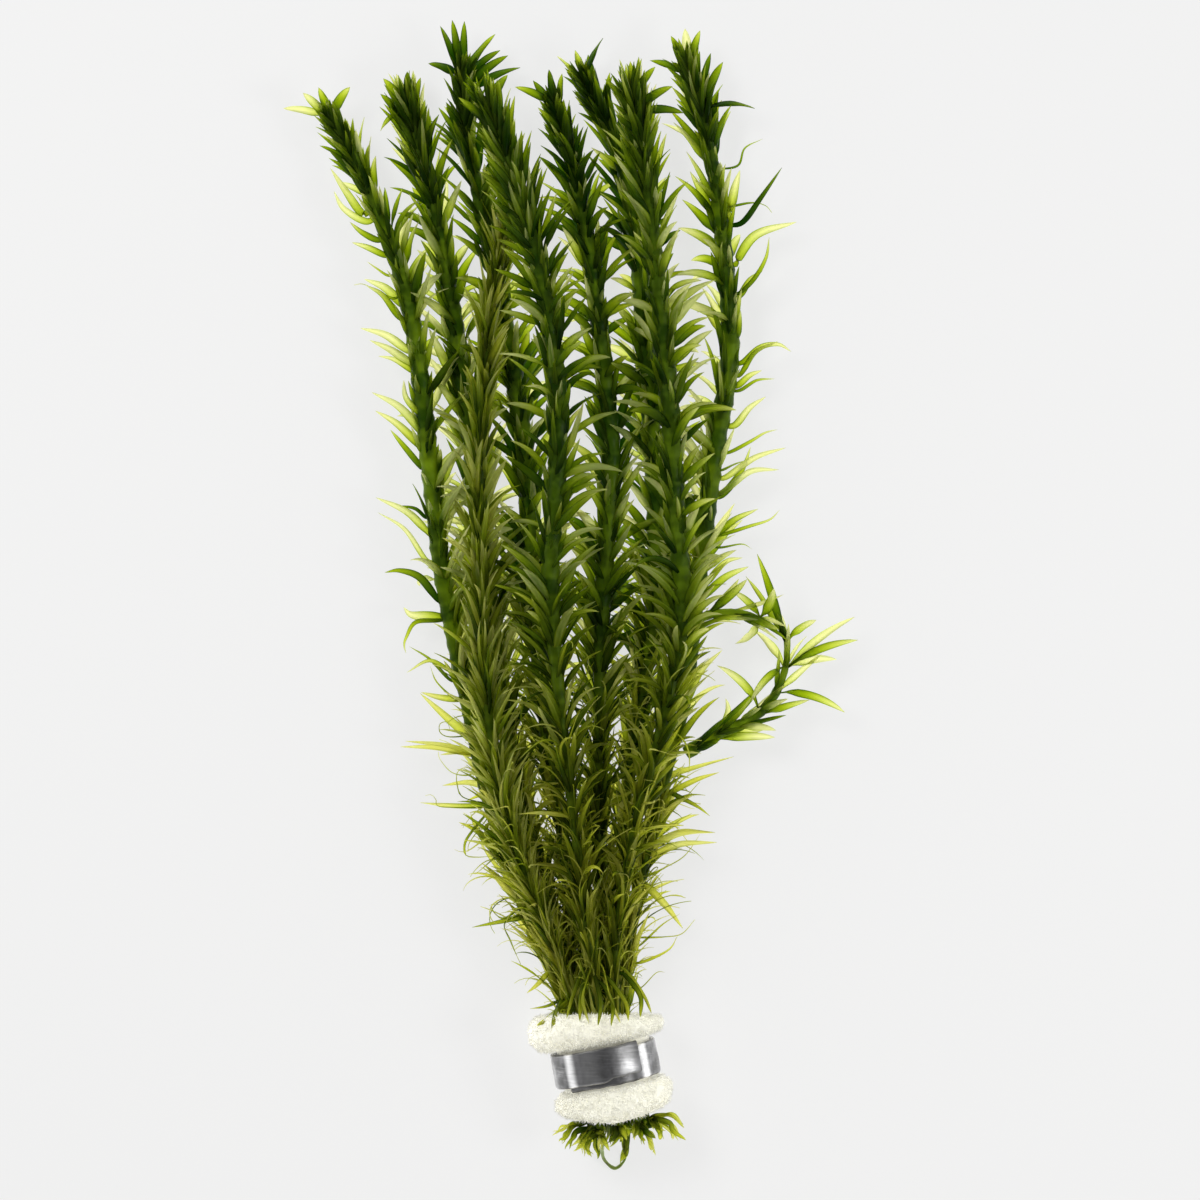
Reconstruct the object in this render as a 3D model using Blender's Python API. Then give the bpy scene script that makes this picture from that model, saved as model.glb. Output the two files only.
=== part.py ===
"""A bunch of Brazilian waterweed lying on its side: nine leafy stems, two side shoots and a root thread,
with the cut ends wrapped in a strip of foam that a strip of sheet lead holds together.

The layout is in millimetres and the meshes are in metres. +Y runs along the bunch to the growing tips,
+X is to its right and +Z is up. The origin is under the middle of the bunch, on the surface it lies on."""

import math
import random

import bmesh
import bpy
import numpy as np
from mathutils import Vector

MM = 0.001
UP = Vector((0.0, 0.0, 1.0))

# Clearances between separate pieces, and between a leaf and the surface below
PIECE_GAP = 0.35
FLOOR_GAP = 0.1

# The wrapped end: where the middle of the lead strip is, and how the end leans to the right
BAND_CENTRE = Vector((7.4, -92.9, 11.0))
BAND_LEAN = math.radians(11)
SLOT_RING = 5.6
CUT_END = -14.5
FOAM_TOP = 9.4
FIRST_LEAVES = 11.5

# The lead strip
LEAD_WIDTH = 6.9
LEAD_THICKNESS = 0.9
LEAD_INNER = 9.45
LEAD_TURNS = 1.24
LEAD_LIFT_FROM = 0.74
LEAD_START = math.radians(140)
LEAD_CREEP = 1.2
LEAD_LAP_GAP = 0.12
LEAD_STEPS = 32

# The foam strip: distance along the axis and radius of its outline, outside then inside
FOAM_OUTLINE = (
    (-10.4, 8.8),
    (-9.4, 11.0),
    (-7.3, 11.8),
    (-5.1, 10.9),
    (-4.2, 9.1),
    (4.2, 9.1),
    (4.9, 11.2),
    (6.0, 12.3),
    (8.2, 12.0),
    (9.2, 9.8),
    (7.6, 8.4),
    (-8.6, 8.0),
)
FOAM_SIDES = 26
FOAM_SEAM = math.radians(24)
FOAM_STEP = 0.9

# The upper roll of the foam swells out at the left, and its rim is higher there and over the top than at
# the right. The lower roll is longest over the top and shortest at the left
UPPER_ROLL = 4.6
ROLL_SWELL = 2.0
ROLL_SKEW = 0.46
UPPER_LONG = 0.26
LOWER_ROLL = -4.6
LOWER_SHORT = 0.18
LOWER_SKEW = 0.1
LOWER_LONG = 0.12

# A stem: radius to its corners, how it tapers to the tip, and how thick a leaf is where it joins
STEM_SIDES = 4
STEM_RADIUS = 1.9
TIP_RADIUS = 0.9
TAPER_LENGTH = 26.0
BUD_LENGTH = 1.6
LEAF_JOINT = 0.9
TIP_LEAF_JOINT = 0.55
BLADE_HALF_WIDTH = 1.0
BLADE_HALF_THICKNESS = 0.3
WHORL_TURN = math.radians(22.5)

# How waterweed grows, by distance from the tip: gap to the next whorl, leaf length,
# lean of a leaf from its stem in degrees, and how far it then curls outwards in degrees
HABIT = (
    (0.0, 1.2, 5.5, 10, 0),
    (4.0, 1.6, 9.0, 17, 4),
    (12.0, 2.8, 12.5, 25, 10),
    (30.0, 5.0, 13.5, 36, 26),
    (60.0, 6.6, 13.5, 47, 46),
    (120.0, 7.2, 12.5, 44, 46),
    (210.0, 7.6, 11.5, 36, 34),
)
CROWN_REACH = 30.0
SPARSE_BELOW = 110.0
CURLED_FROM = 46.0

# Each stem's slot in the foam, as an angle or None for the middle one, its route from the foam to its
# tip, and where the tips of its topmost leaves are
STEMS = {
    "stem_right": {
        "slot": 45,
        "route": (
            (9.2, -68.5, 15.5), (13.2, -44.5, 16), (19.6, -20.5, 16), (22.4, -2, 15.6),
            (21.2, 15.5, 15), (19.8, 39.5, 15), (17.4, 63.5, 15), (14.8, 86, 15.5), (12.4, 100, 16),
        ),
        "crown": ((12, 106.5, 17), (17, 105.5, 16), (20.4, 101.5, 17), (22.6, 96.5, 14), (7, 103, 17)),
    },
    "stem_front": {
        "slot": 90,
        "route": (
            (3.8, -68.5, 17), (0.8, -44.5, 17.5), (-2, -20.5, 17), (-3.8, 3.5, 16.5),
            (-2.4, 27.5, 16.5), (-2.6, 43, 17), (-5.8, 63.5, 17.5), (-11, 82, 18), (-16.2, 98, 18.5),
        ),
        "crown": ((-17, 103.5, 19), (-20.4, 103, 18), (-14, 102.5, 19), (-12.4, 104, 15), (-22, 99, 20)),
    },
    "stem_far_right": {
        "slot": 0,
        "route": (
            (12, -68.5, 10.5), (17, -44.5, 9), (23.2, -20.5, 8.5), (25.8, 3.5, 8.5), (28.8, 27.5, 8.5),
            (32, 48, 8.5), (31.2, 66, 8.5), (28.4, 87.5, 9), (23.6, 106.5, 9.5),
        ),
        "crown": (
            (20.2, 112.3, 10), (23, 113.9, 9), (26, 113.3, 11), (28.2, 109.1, 8), (30.6, 107.1, 10),
            (16, 107.5, 9), (37, 97.9, 9),
        ),
    },
    "stem_far_left": {
        "slot": 180,
        "route": (
            (-6, -68.5, 10.5), (-15.6, -44.5, 9), (-21, -20.5, 8.5), (-25.4, 3.5, 8.5),
            (-28.2, 27.5, 8.5), (-31, 51.5, 8.5), (-34.6, 67, 8.5), (-41, 83, 8.5), (-48.2, 96.5, 9),
        ),
        "crown": ((-57.4, 97.9, 9), (-53.4, 100.9, 10), (-50.4, 102.2, 8), (-44, 102.1, 10)),
    },
    "stem_left_high": {
        "slot": 135,
        "route": (
            (-3.6, -68.5, 15.4), (-12.4, -44.5, 15), (-16.6, -20.5, 14.2), (-17.8, 3.5, 14),
            (-17.8, 27.5, 14), (-16.4, 51.5, 13), (-14.6, 63.5, 11.8), (-12.6, 75, 11),
        ),
        "crown": (),
    },
    "stem_centre": {
        "slot": None,
        "route": (
            (6, -68.5, 11.4), (5.6, -44.5, 10.6), (5.8, -20.5, 9.6), (6.8, 3.5, 9), (8.3, 24, 9),
            (7.4, 39.5, 9), (5, 62, 9), (2, 80, 9.5), (-3.2, 99, 10),
        ),
        "crown": ((-7.4, 103.5, 9), (-4.2, 105.5, 11), (-1.6, 104.9, 9), (-11, 102.1, 10)),
    },
    "stem_left_low": {
        "slot": 225,
        "route": (
            (-1.6, -68.5, 6.5), (-8.6, -44.5, 6.2), (-13.4, -20.5, 6.2), (-16.8, 3.5, 6.2),
            (-19.4, 27.5, 6.2), (-22.6, 51.5, 6.5), (-26.8, 75.5, 7), (-32.4, 98.5, 8),
        ),
        "crown": (
            (-37.4, 103.9, 9), (-34.8, 104.9, 8), (-32.6, 105.3, 9), (-30, 104.3, 7), (-38, 100.9, 8),
            (-38, 93.5, 8),
        ),
    },
    "stem_tallest": {
        "slot": 270,
        "route": (
            (1.8, -68.5, 5.6), (-2.4, -44.5, 5.6), (-5.8, -20.5, 5.8), (-7.8, 3.5, 6), (-9, 27.5, 6),
            (-12.4, 51.5, 6), (-17.2, 75.5, 6.5), (-20.8, 93, 7), (-21.6, 104.8, 8),
        ),
        "crown": (
            (-26, 114.5, 8), (-23.6, 115.6, 9), (-21.2, 115.6, 7), (-15, 112.9, 8), (-14, 109.9, 6),
            (-12.4, 108.5, 9), (-10, 106.3, 7), (-28.4, 107, 8),
        ),
    },
    "stem_bent_tip": {
        "slot": 315,
        "route": (
            (8.2, -68.5, 6.2), (10.8, -44.5, 5.8), (14.2, -20.5, 6), (17.2, 3.5, 6), (16.6, 27.5, 6.2),
            (15, 51.5, 6.2), (12.8, 75.5, 6.4), (9, 91, 6.8), (2.6, 104, 7.6),
        ),
        "crown": ((-2.6, 108.5, 8), (1, 109.7, 8), (3.6, 109, 6), (6.6, 112.1, 8)),
    },
}

# The two side shoots: the stem each grows on, its route, and the tips of its leaves
SIDE_SHOOTS = {
    "side_shoot_long": {
        "route": (
            (23.2, -31.2, 9), (29, -27.6, 9.6), (35, -25, 10), (39.6, -21.4, 10), (42.2, -16.8, 10),
            (43.4, -12.2, 10), (43.2, -8.2, 10),
        ),
        "crown": (
            (37.4, 8.7, 11), (49.2, -4.5, 12), (57.0, -3.9, 9), (57.6, -8.5, 10), (53.4, -12.4, 8),
            (55.0, -23.0, 9), (35.2, 4.2, 9), (37.0, -6.6, 8), (37.6, -18.5, 9), (41.0, -28.0, 9),
            (29.4, -13.6, 10), (36.2, -20.7, 12), (39.2, -26.4, 7),
        ),
    },
    "side_shoot_short": {
        "route": ((24.9, -4.6, 15.6), (29, -3.1, 15.4), (34.4, -3.1, 14.8), (38.2, -4.4, 14.4)),
        "crown": ((35.2, 3.6, 17), (32.6, 1.2, 14), (40.6, 1.8, 15), (33.0, -9.2, 13), (41.6, -6.4, 15)),
    },
}
SHOOT_RADIUS = 1.45
SHOOT_WHORL_GAP = 4.2

# The root thread that hangs in a loop from the cut ends
ROOT_RADIUS = 0.4
ROOT_ROUTE = (
    (6.6, -109.4, 6.6), (6.4, -111.4, 3.6), (7.0, -113.6, 1.4), (9.0, -115.2, 0.7), (10.8, -113.8, 0.7),
    (11.2, -111.8, 1.6), (10.6, -110.0, 3.4),
)


def mix(table, distance, column):
    """The value in a column of a table at this distance from the tip, between its rows."""
    stops = [row[0] for row in table]
    return float(np.interp(distance, stops, [row[column] for row in table]))


def base_axis():
    """The directions along the wrapped end towards the tips, and to its right."""
    along = Vector((-math.sin(BAND_LEAN), math.cos(BAND_LEAN), 0.0))
    return along, along.cross(UP)


def base_point(distance, radius=0.0, angle=0.0):
    """A point by its distance along the wrapped end's axis, and its radius and angle round it."""
    along, right = base_axis()
    return BAND_CENTRE + along * distance + (right * math.cos(angle) + UP * math.sin(angle)) * radius


def through(points, step):
    """A smooth line through the points, as points about a step apart."""
    ends = [points[0] * 2 - points[1], *points, points[-1] * 2 - points[-2]]
    line = []
    for a, b, c, d in zip(ends, ends[1:], ends[2:], ends[3:]):
        count = max(1, round((c - b).length / step))
        for i in range(count):
            t = i / count
            line.append(
                0.5 * (2 * b + (c - a) * t + (2 * a - 5 * b + 4 * c - d) * t**2
                       + (3 * b - a - 3 * c + d) * t**3)
            )
    return line + [points[-1]]


class Route:
    """A stem's centre line, read by distance from its growing tip."""

    def __init__(self, points):
        self.points = through(points, 1.5)
        steps = [(b - a).length for a, b in zip(self.points, self.points[1:])]
        self.length = sum(steps)
        self.from_tip = self.length - np.concatenate([[0.0], np.cumsum(steps)])

    def at(self, distance):
        """The point there, and the directions onwards to the tip, to the side and over the top."""
        stops, flat = self.from_tip[::-1], np.array(self.points)[::-1]
        point = Vector([np.interp(distance, stops, flat[:, i]) for i in range(3)])
        i = int(np.clip(np.searchsorted(stops, distance), 1, len(stops) - 1))
        onwards = Vector(flat[i - 1] - flat[i]).normalized()
        side = onwards.cross(UP).normalized()
        return point, onwards, side, side.cross(onwards)


class Crowd:
    """The pieces that a new leaf must miss, as tapering rods."""

    def __init__(self):
        self.rods, self.owners, self.whorls = [], [], []

    def add(self, line, radii, owner, whorl):
        """Adds a rod for each stretch of the line."""
        for a, b, thick, thin in zip(line, line[1:], radii, radii[1:]):
            self.rods.append([*a, *b, thick, thin])
            self.owners.append(owner)
            self.whorls.append(whorl)

    def settle(self):
        """Gets ready for misses after adding."""
        self.table = np.array(self.rods)
        self.owner_table = np.array(self.owners)
        self.whorl_table = np.array(self.whorls)

    def misses(self, points, radii, owner, whorl):
        """True if balls at these points stay clear of every rod, apart from their own stem's and whorl's."""
        start, end = self.table[:, 0:3], self.table[:, 3:6]
        own = self.owner_table == owner
        wanted = ~(own & ((self.whorl_table == whorl) | (self.whorl_table < 0)))
        wanted &= np.abs(start - np.array(points[0])).max(axis=1) < 30
        start, end, own = start[wanted], end[wanted], own[wanted]
        rods = self.table[wanted]
        span = end - start
        gaps = np.where(own, 0.05, PIECE_GAP)
        for point, radius in zip(points, radii):
            toward = np.array(point) - start
            t = np.clip((toward * span).sum(1) / np.maximum((span * span).sum(1), 1e-9), 0, 1)
            far = np.linalg.norm(toward - span * t[:, None], axis=1)
            reach = rods[:, 6] + (rods[:, 7] - rods[:, 6]) * t
            if (far < reach + np.where(own, 0.35 * radius, radius) + gaps).any():
                return False
        return True


def bend_point(base, bend, tip, u):
    """A point on the leaf's curve, from its base at 0 to its tip at 1."""
    return base * (1 - u) ** 2 + bend * (2 * u * (1 - u)) + tip * u**2


def leaf_line(leaf):
    """The leaf's centre line as the solids have it."""
    base, bend, tip = leaf["base"], leaf["bend"], leaf["tip"]
    return [base, bend_point(base, bend, tip, 0.5), tip]


def fits(crowd, leaf, owner, whorl):
    """True if the leaf stays above the floor and clear of the crowd."""
    line = leaf_line(leaf)
    if line[1].z < FLOOR_GAP + BLADE_HALF_THICKNESS or line[2].z < FLOOR_GAP:
        return False
    points = [line[0].lerp(line[1], 0.5), line[1]]
    points += [line[1].lerp(line[2], share) for share in (0.33, 0.67, 1.0)]
    return crowd.misses(points, (1.2, 1.1, 0.8, 0.5, 0.15), owner, whorl)


def grown_leaf(place, angle, radius, length, lean, curl):
    """A leaf by its angle round the stem, its length, and its lean and curl from the stem."""
    point, onwards, side, over = place
    out = side * math.cos(angle) + over * math.sin(angle)
    base = point + out * radius
    first = onwards * math.cos(lean) + out * math.sin(lean)
    last = onwards * math.cos(lean + curl) + out * math.sin(lean + curl)
    bend = base + first * (length / 2)
    return {"base": base, "bend": bend, "tip": bend + last * (length / 2)}


def reaching_leaf(place, angle, radius, tip):
    """A leaf that leaves the stem at this angle and ends at a given tip."""
    point, onwards, side, over = place
    out = side * math.cos(angle) + over * math.sin(angle)
    base = point + out * radius
    straight = tip - base
    first = (straight.normalized() + onwards * 0.5 + out * 0.2).normalized()
    return {"base": base, "bend": base + first * (straight.length * 0.5), "tip": tip}


def radius_at(distance, widest):
    """A stem's radius by distance from the tip."""
    share = min(1.0, distance / TAPER_LENGTH)
    return TIP_RADIUS + (widest - TIP_RADIUS) * math.sin(share * math.pi / 2)


def stem_route(spec):
    """A stem's route from its cut end, through its slot in the foam and on to its tip."""
    radius = 0.0 if spec["slot"] is None else SLOT_RING
    angle = math.radians(spec["slot"] or 0)
    inside = [base_point(d, radius, angle) for d in (CUT_END, -6.0, 2.0, FOAM_TOP)]
    return Route([*inside, *(Vector(p) for p in spec["route"])])


def whorl_stops(route, spec):
    """The distances from the tip of a stem's whorls, each marked when the solids have it too."""
    last = route.length + CUT_END - FIRST_LEAVES if "slot" in spec else route.length - 2.0
    stops, distance, i = [], 1.0, 0
    while distance < last:
        if "slot" in spec:
            solid = i % 2 == 0 if distance < CROWN_REACH or distance > SPARSE_BELOW else True
            gap = mix(HABIT, distance, 1)
        else:
            solid, gap = True, min(mix(HABIT, distance, 1) * 2, SHOOT_WHORL_GAP)
        stops.append((distance, solid))
        distance += gap
        i += 1
    return stops


def give_crown(shoot, spec, crowd):
    """Grows the leaves whose tips are given, each from the free place on a whorl that suits it best."""
    reach = CROWN_REACH if "slot" in spec else shoot["route"].length
    for tip in (Vector(t) for t in spec["crown"]):
        best = None
        for number, whorl in enumerate(shoot["whorls"]):
            if whorl["distance"] > reach or not whorl["solid"]:
                continue
            point, onwards, side, over = whorl["place"]
            toward = tip - point
            length = min(mix(HABIT, whorl["distance"], 2), 12.5)
            for slot in range(STEM_SIDES):
                angle = whorl["turn"] + slot * math.tau / STEM_SIDES
                out = side * math.cos(angle) + over * math.sin(angle)
                if slot in whorl["leaves"]:
                    continue
                score = abs(toward.length - length) - 5.0 * out.dot(toward.normalized())
                if best is None or score < best[0]:
                    best = (score, number, slot, angle)
        if best is None:
            continue
        number, slot, angle = best[1:]
        whorl = shoot["whorls"][number]
        leaf = reaching_leaf(whorl["place"], angle, whorl["radius"] * 0.8, tip)
        if fits(crowd, leaf, shoot["name"], number):
            keep_leaf(shoot, number, slot, leaf, crowd)


def keep_leaf(shoot, number, slot, leaf, crowd):
    """Adds the leaf to its whorl and to the crowd."""
    shoot["whorls"][number]["leaves"][slot] = leaf
    crowd.add(leaf_line(leaf), (1.2, 1.0, 0.1), shoot["name"], number)
    crowd.settle()


def grow_whorl(shoot, number, crowd, chance):
    """Grows a whorl's other leaves, each bent, turned or shortened until it clears the crowd."""
    whorl = shoot["whorls"][number]
    for slot in range(STEM_SIDES):
        length = mix(HABIT, whorl["distance"], 2) * chance.uniform(0.85, 1.12)
        lean = math.radians(mix(HABIT, whorl["distance"], 3) * chance.uniform(0.75, 1.2))
        curl = math.radians(mix(HABIT, whorl["distance"], 4) * chance.uniform(0.5, 1.5))
        angle = whorl["turn"] + slot * math.tau / STEM_SIDES
        if slot in whorl["leaves"]:
            continue
        for cut, ease, turn in TRIES:
            leaf = grown_leaf(
                whorl["place"], angle + math.radians(turn), whorl["radius"] * 0.8,
                length * cut, lean * ease, curl * ease,
            )
            if fits(crowd, leaf, shoot["name"], number):
                keep_leaf(shoot, number, slot, leaf, crowd)
                break


# What a leaf tries in turn: a share of its length, a share of its lean, and a turn in degrees
TRIES = [
    (cut, ease, turn)
    for cut in (1.0, 0.8, 0.6, 0.42)
    for ease in (1.0, 0.8, 0.62, 0.45, 0.3, 0.16)
    for turn in (0, 10, -10, 20, -20)
]


def grow_scraps(shoot, spec, chance, crowd):
    """The short crushed leaves that stick out under the foam, only on the outside of the bunch."""
    distance = shoot["route"].length - 1.4
    place = shoot["route"].at(distance)
    whorl = {
        "distance": distance, "place": place, "turn": math.radians(spec["slot"] or 0),
        "radius": STEM_RADIUS, "solid": True, "leaves": {},
    }
    number = len(shoot["whorls"])
    shoot["whorls"].append(whorl)
    if spec["slot"] is None:
        return
    for slot in range(STEM_SIDES):
        angle = whorl["turn"] + slot * math.tau / STEM_SIDES
        if slot == 2:
            continue
        length = chance.uniform(5.0, 8.0) if slot == 0 else chance.uniform(3.5, 5.0)
        lean = math.radians(chance.uniform(105, 150))
        for cut, ease in ((1.0, 1.0), (1.0, 1.1), (0.8, 1.15), (0.6, 1.2), (0.4, 1.2)):
            leaf = grown_leaf(place, angle, STEM_RADIUS * 0.8, length * cut, lean * ease, 0.3)
            if fits(crowd, leaf, shoot["name"], number):
                keep_leaf(shoot, number, slot, leaf, crowd)
                break


def plan_shoots():
    """Every stem and side shoot with its whorls and leaves, none of them touching another piece."""
    crowd, shoots = Crowd(), {}
    for name, spec in {**STEMS, **SIDE_SHOOTS}.items():
        is_stem = "slot" in spec
        route = stem_route(spec) if is_stem else Route([Vector(p) for p in spec["route"]])
        widest = STEM_RADIUS if is_stem else SHOOT_RADIUS
        chance = random.Random(name)
        whorls = []
        for i, (distance, solid) in enumerate(whorl_stops(route, spec)):
            whorls.append({
                "distance": distance, "place": route.at(distance), "radius": radius_at(distance, widest),
                "turn": i * WHORL_TURN + chance.uniform(-0.12, 0.12), "solid": solid, "leaves": {},
            })
        shoots[name] = {"name": name, "route": route, "whorls": whorls, "widest": widest, "chance": chance}
        stops = np.linspace(0, route.length, int(route.length / 3) + 2)
        line = [route.at(d)[0] for d in stops]
        crowd.add(line, [radius_at(d, widest) + 0.1 for d in stops], name, -1)
    crowd.add([base_point(CUT_END + 3.0), base_point(FOAM_TOP - 1.0)], (12.6, 12.6), "foam_wrap", 0)
    root = through([Vector(p) for p in ROOT_ROUTE], 1.2)
    crowd.add(root, [ROOT_RADIUS] * len(root), "root_thread", 0)
    crowd.settle()
    for name, shoot in shoots.items():
        give_crown(shoot, {**STEMS, **SIDE_SHOOTS}[name], crowd)
    for name in [*SIDE_SHOOTS, *STEMS]:
        shoot = shoots[name]
        for number, whorl in enumerate(shoot["whorls"]):
            if whorl["solid"]:
                grow_whorl(shoot, number, crowd, shoot["chance"])
        if name in STEMS:
            grow_scraps(shoot, STEMS[name], shoot["chance"], crowd)
    return shoots


def new_material(name, colour, roughness, metallic=0.0):
    """A plain finish in the part's own colour."""
    material = bpy.data.materials.new(name)
    material.use_nodes = True
    finish = material.node_tree.nodes["Principled BSDF"]
    finish.inputs["Base Color"].default_value = (*colour, 1.0)
    finish.inputs["Roughness"].default_value = roughness
    finish.inputs["Metallic"].default_value = metallic
    return material


def new_object(name, bm, material):
    """Turns a mesh in millimetres into an object in metres, with its faces pointing out."""
    bmesh.ops.scale(bm, vec=(MM, MM, MM), verts=bm.verts)
    bmesh.ops.recalc_face_normals(bm, faces=bm.faces)
    if bm.calc_volume(signed=True) < 0:
        bmesh.ops.reverse_faces(bm, faces=bm.faces)
    mesh = bpy.data.meshes.new(name)
    bm.to_mesh(mesh)
    bm.free()
    mesh.materials.append(material)
    obj = bpy.data.objects.new(name, mesh)
    bpy.context.scene.collection.objects.link(obj)
    return obj


def add_ring(bm, place, radius, turn):
    """A ring of corners round a stem, whose flat sides face the turn and each step from it."""
    point, onwards, side, over = place
    corners = []
    for i in range(STEM_SIDES):
        angle = turn + (i - 0.5) * math.tau / STEM_SIDES
        corners.append(bm.verts.new(point + (side * math.cos(angle) + over * math.sin(angle)) * radius))
    return corners


def join_rings(bm, lower, upper, skip=()):
    """The flat sides between two rings, apart from those that carry a leaf."""
    for i in range(STEM_SIDES):
        if i not in skip:
            j = (i + 1) % STEM_SIDES
            bm.faces.new((lower[i], lower[j], upper[j], upper[i]))


def add_leaf(bm, foot, leaf, bent):
    """A leaf as a spike on the four corners of its foot, with one bend in it if it curls."""
    tip = bm.verts.new(leaf["tip"])
    if bent:
        base, middle, end = leaf_line(leaf)
        wide = (foot[1].co - foot[0].co).normalized()
        thick = wide.cross(end - base).normalized()
        if thick.dot(foot[3].co - foot[0].co) < 0:
            thick = -thick
        reach = (middle + wide * w * BLADE_HALF_WIDTH + thick * t * BLADE_HALF_THICKNESS
                 for w, t in ((-1, -1), (1, -1), (1, 1), (-1, 1)))
        section = [bm.verts.new(p) for p in reach]
        for i in range(4):
            j = (i + 1) % 4
            bm.faces.new((foot[i], foot[j], section[j], section[i]))
        foot = section
    for i in range(4):
        bm.faces.new((foot[i], foot[(i + 1) % 4], tip))


def nearest_turn(turn, last):
    """The same ring of sides, turned by whole sides to line up with the last ring."""
    side = math.tau / STEM_SIDES
    return turn + side * round((last - turn) / side)


def build_shoot(shoot, material):
    """A stem or side shoot with its leaves, as one closed mesh."""
    bm, route, widest = bmesh.new(), shoot["route"], shoot["widest"]
    whorls = [w for w in shoot["whorls"] if w["solid"]]
    whorls.sort(key=lambda w: -w["distance"])
    turn = whorls[0]["turn"]
    ring = add_ring(bm, route.at(route.length), radius_at(route.length, widest), turn)
    bm.faces.new(ring)
    for i, whorl in enumerate(whorls):
        distance = whorl["distance"]
        joint = LEAF_JOINT if distance > CROWN_REACH / 2 else TIP_LEAF_JOINT
        if i == 1 and whorls[0]["distance"] - distance > 20:
            for stop in np.linspace(whorls[0]["distance"], distance, 4)[1:3]:
                here = add_ring(bm, route.at(stop), radius_at(stop, widest), turn)
                join_rings(bm, ring, here)
                ring = here
        new_turn = nearest_turn(whorl["turn"], turn)
        moved = round((new_turn - whorl["turn"]) / (math.tau / STEM_SIDES))
        turn = new_turn
        lower = add_ring(bm, route.at(distance + joint / 2), whorl["radius"], turn)
        upper = add_ring(bm, route.at(distance - joint / 2), whorl["radius"], turn)
        join_rings(bm, ring, lower)
        sides = {(slot - moved) % STEM_SIDES: leaf for slot, leaf in whorl["leaves"].items()}
        join_rings(bm, lower, upper, skip=sides)
        bent = CURLED_FROM < distance < SPARSE_BELOW or "side" in shoot["name"]
        for side, leaf in sides.items():
            j = (side + 1) % STEM_SIDES
            add_leaf(bm, (lower[side], lower[j], upper[j], upper[side]), leaf, bent)
        ring = upper
    point, onwards = route.at(0.0)[:2]
    bud = bm.verts.new(point + onwards * BUD_LENGTH)
    for i in range(STEM_SIDES):
        bm.faces.new((ring[i], ring[(i + 1) % STEM_SIDES], bud))
    return new_object(shoot["name"], bm, material)


def foam_point(distance, radius, angle):
    """A point of the foam: lumpy, stepped where the strip's outer end lies, swollen and skewed above."""
    leftness = max(0.0, -math.cos(angle)) ** 2
    above = max(0.0, distance - UPPER_ROLL)
    below = max(0.0, LOWER_ROLL - distance)
    if radius > LEAD_INNER:
        lumps = 0.35 * math.cos(3 * angle + 0.6) + 0.25 * math.cos(5 * angle - 1.1)
        wrap = ((angle - FOAM_SEAM) % math.tau) / math.tau
        radius += lumps + FOAM_STEP * (wrap - 0.5) + (ROLL_SWELL * leftness if above else 0.0)
    distance += above * (UPPER_LONG * max(0.0, math.sin(angle)) - ROLL_SKEW * math.cos(angle))
    ends = LOWER_SHORT * abs(math.cos(angle)) - LOWER_SKEW * math.cos(angle)
    distance += below * (ends - LOWER_LONG * math.sin(angle))
    point = base_point(distance, radius, angle)
    point.z = max(point.z, 0.0)
    return point


def build_foam(material):
    """The foam strip wrapped round the stems, squeezed at the waist and flat where it lies on the surface."""
    bm, rings = bmesh.new(), []
    for i in range(FOAM_SIDES):
        angle = math.tau * i / FOAM_SIDES
        rings.append([bm.verts.new(foam_point(*place, angle)) for place in FOAM_OUTLINE])
    for i, ring in enumerate(rings):
        after = rings[(i + 1) % FOAM_SIDES]
        for j in range(len(FOAM_OUTLINE)):
            k = (j + 1) % len(FOAM_OUTLINE)
            bm.faces.new((ring[j], ring[k], after[k], after[j]))
    return new_object("foam_wrap", bm, material)


def build_lead(material):
    """The strip of sheet lead, wound once round and over its own start."""
    bm, last = bmesh.new(), None
    for i in range(LEAD_STEPS + 1):
        share = i / LEAD_STEPS
        turns = share * LEAD_TURNS
        angle = LEAD_START - turns * math.tau
        lift = max(0.0, min(1.0, (turns - LEAD_LIFT_FROM) / (1 - LEAD_LIFT_FROM)))
        inner = LEAD_INNER + lift * (LEAD_THICKNESS + LEAD_LAP_GAP)
        middle = LEAD_CREEP * (share - 0.5)
        section = [
            bm.verts.new(base_point(middle + along * LEAD_WIDTH / 2, inner + out * LEAD_THICKNESS, angle))
            for along, out in ((-1, 0), (1, 0), (1, 1), (-1, 1))
        ]
        if last:
            for j in range(4):
                k = (j + 1) % 4
                bm.faces.new((last[j], last[k], section[k], section[j]))
        else:
            bm.faces.new(section)
        last = section
    bm.faces.new(last)
    return new_object("lead_strip", bm, material)


def build_root(material):
    """The root thread as a bevelled curve with closed ends."""
    curve = bpy.data.curves.new("root_thread", "CURVE")
    curve.dimensions = "3D"
    curve.bevel_depth = ROOT_RADIUS * MM
    curve.bevel_resolution = 1
    curve.use_fill_caps = True
    line = through([Vector(p) for p in ROOT_ROUTE], 1.2)
    spline = curve.splines.new("POLY")
    spline.points.add(len(line) - 1)
    for point, place in zip(spline.points, line):
        point.co = (*(place * MM), 1.0)
    curve.materials.append(material)
    obj = bpy.data.objects.new("root_thread", curve)
    bpy.context.scene.collection.objects.link(obj)
    return obj


def main():
    for obj in list(bpy.data.objects):
        bpy.data.objects.remove(obj)
    leaf_green = new_material("leaf_green", (0.10, 0.21, 0.03), 0.45)
    olive = new_material("olive_green", (0.20, 0.25, 0.05), 0.5)
    cream = new_material("cream_foam", (0.84, 0.80, 0.66), 0.95)
    lead = new_material("sheet_lead", (0.36, 0.37, 0.39), 0.4, metallic=0.9)
    for name, shoot in plan_shoots().items():
        build_shoot(shoot, olive if name == "stem_left_high" else leaf_green)
    build_foam(cream)
    build_lead(lead)
    build_root(olive)


main()
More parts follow.
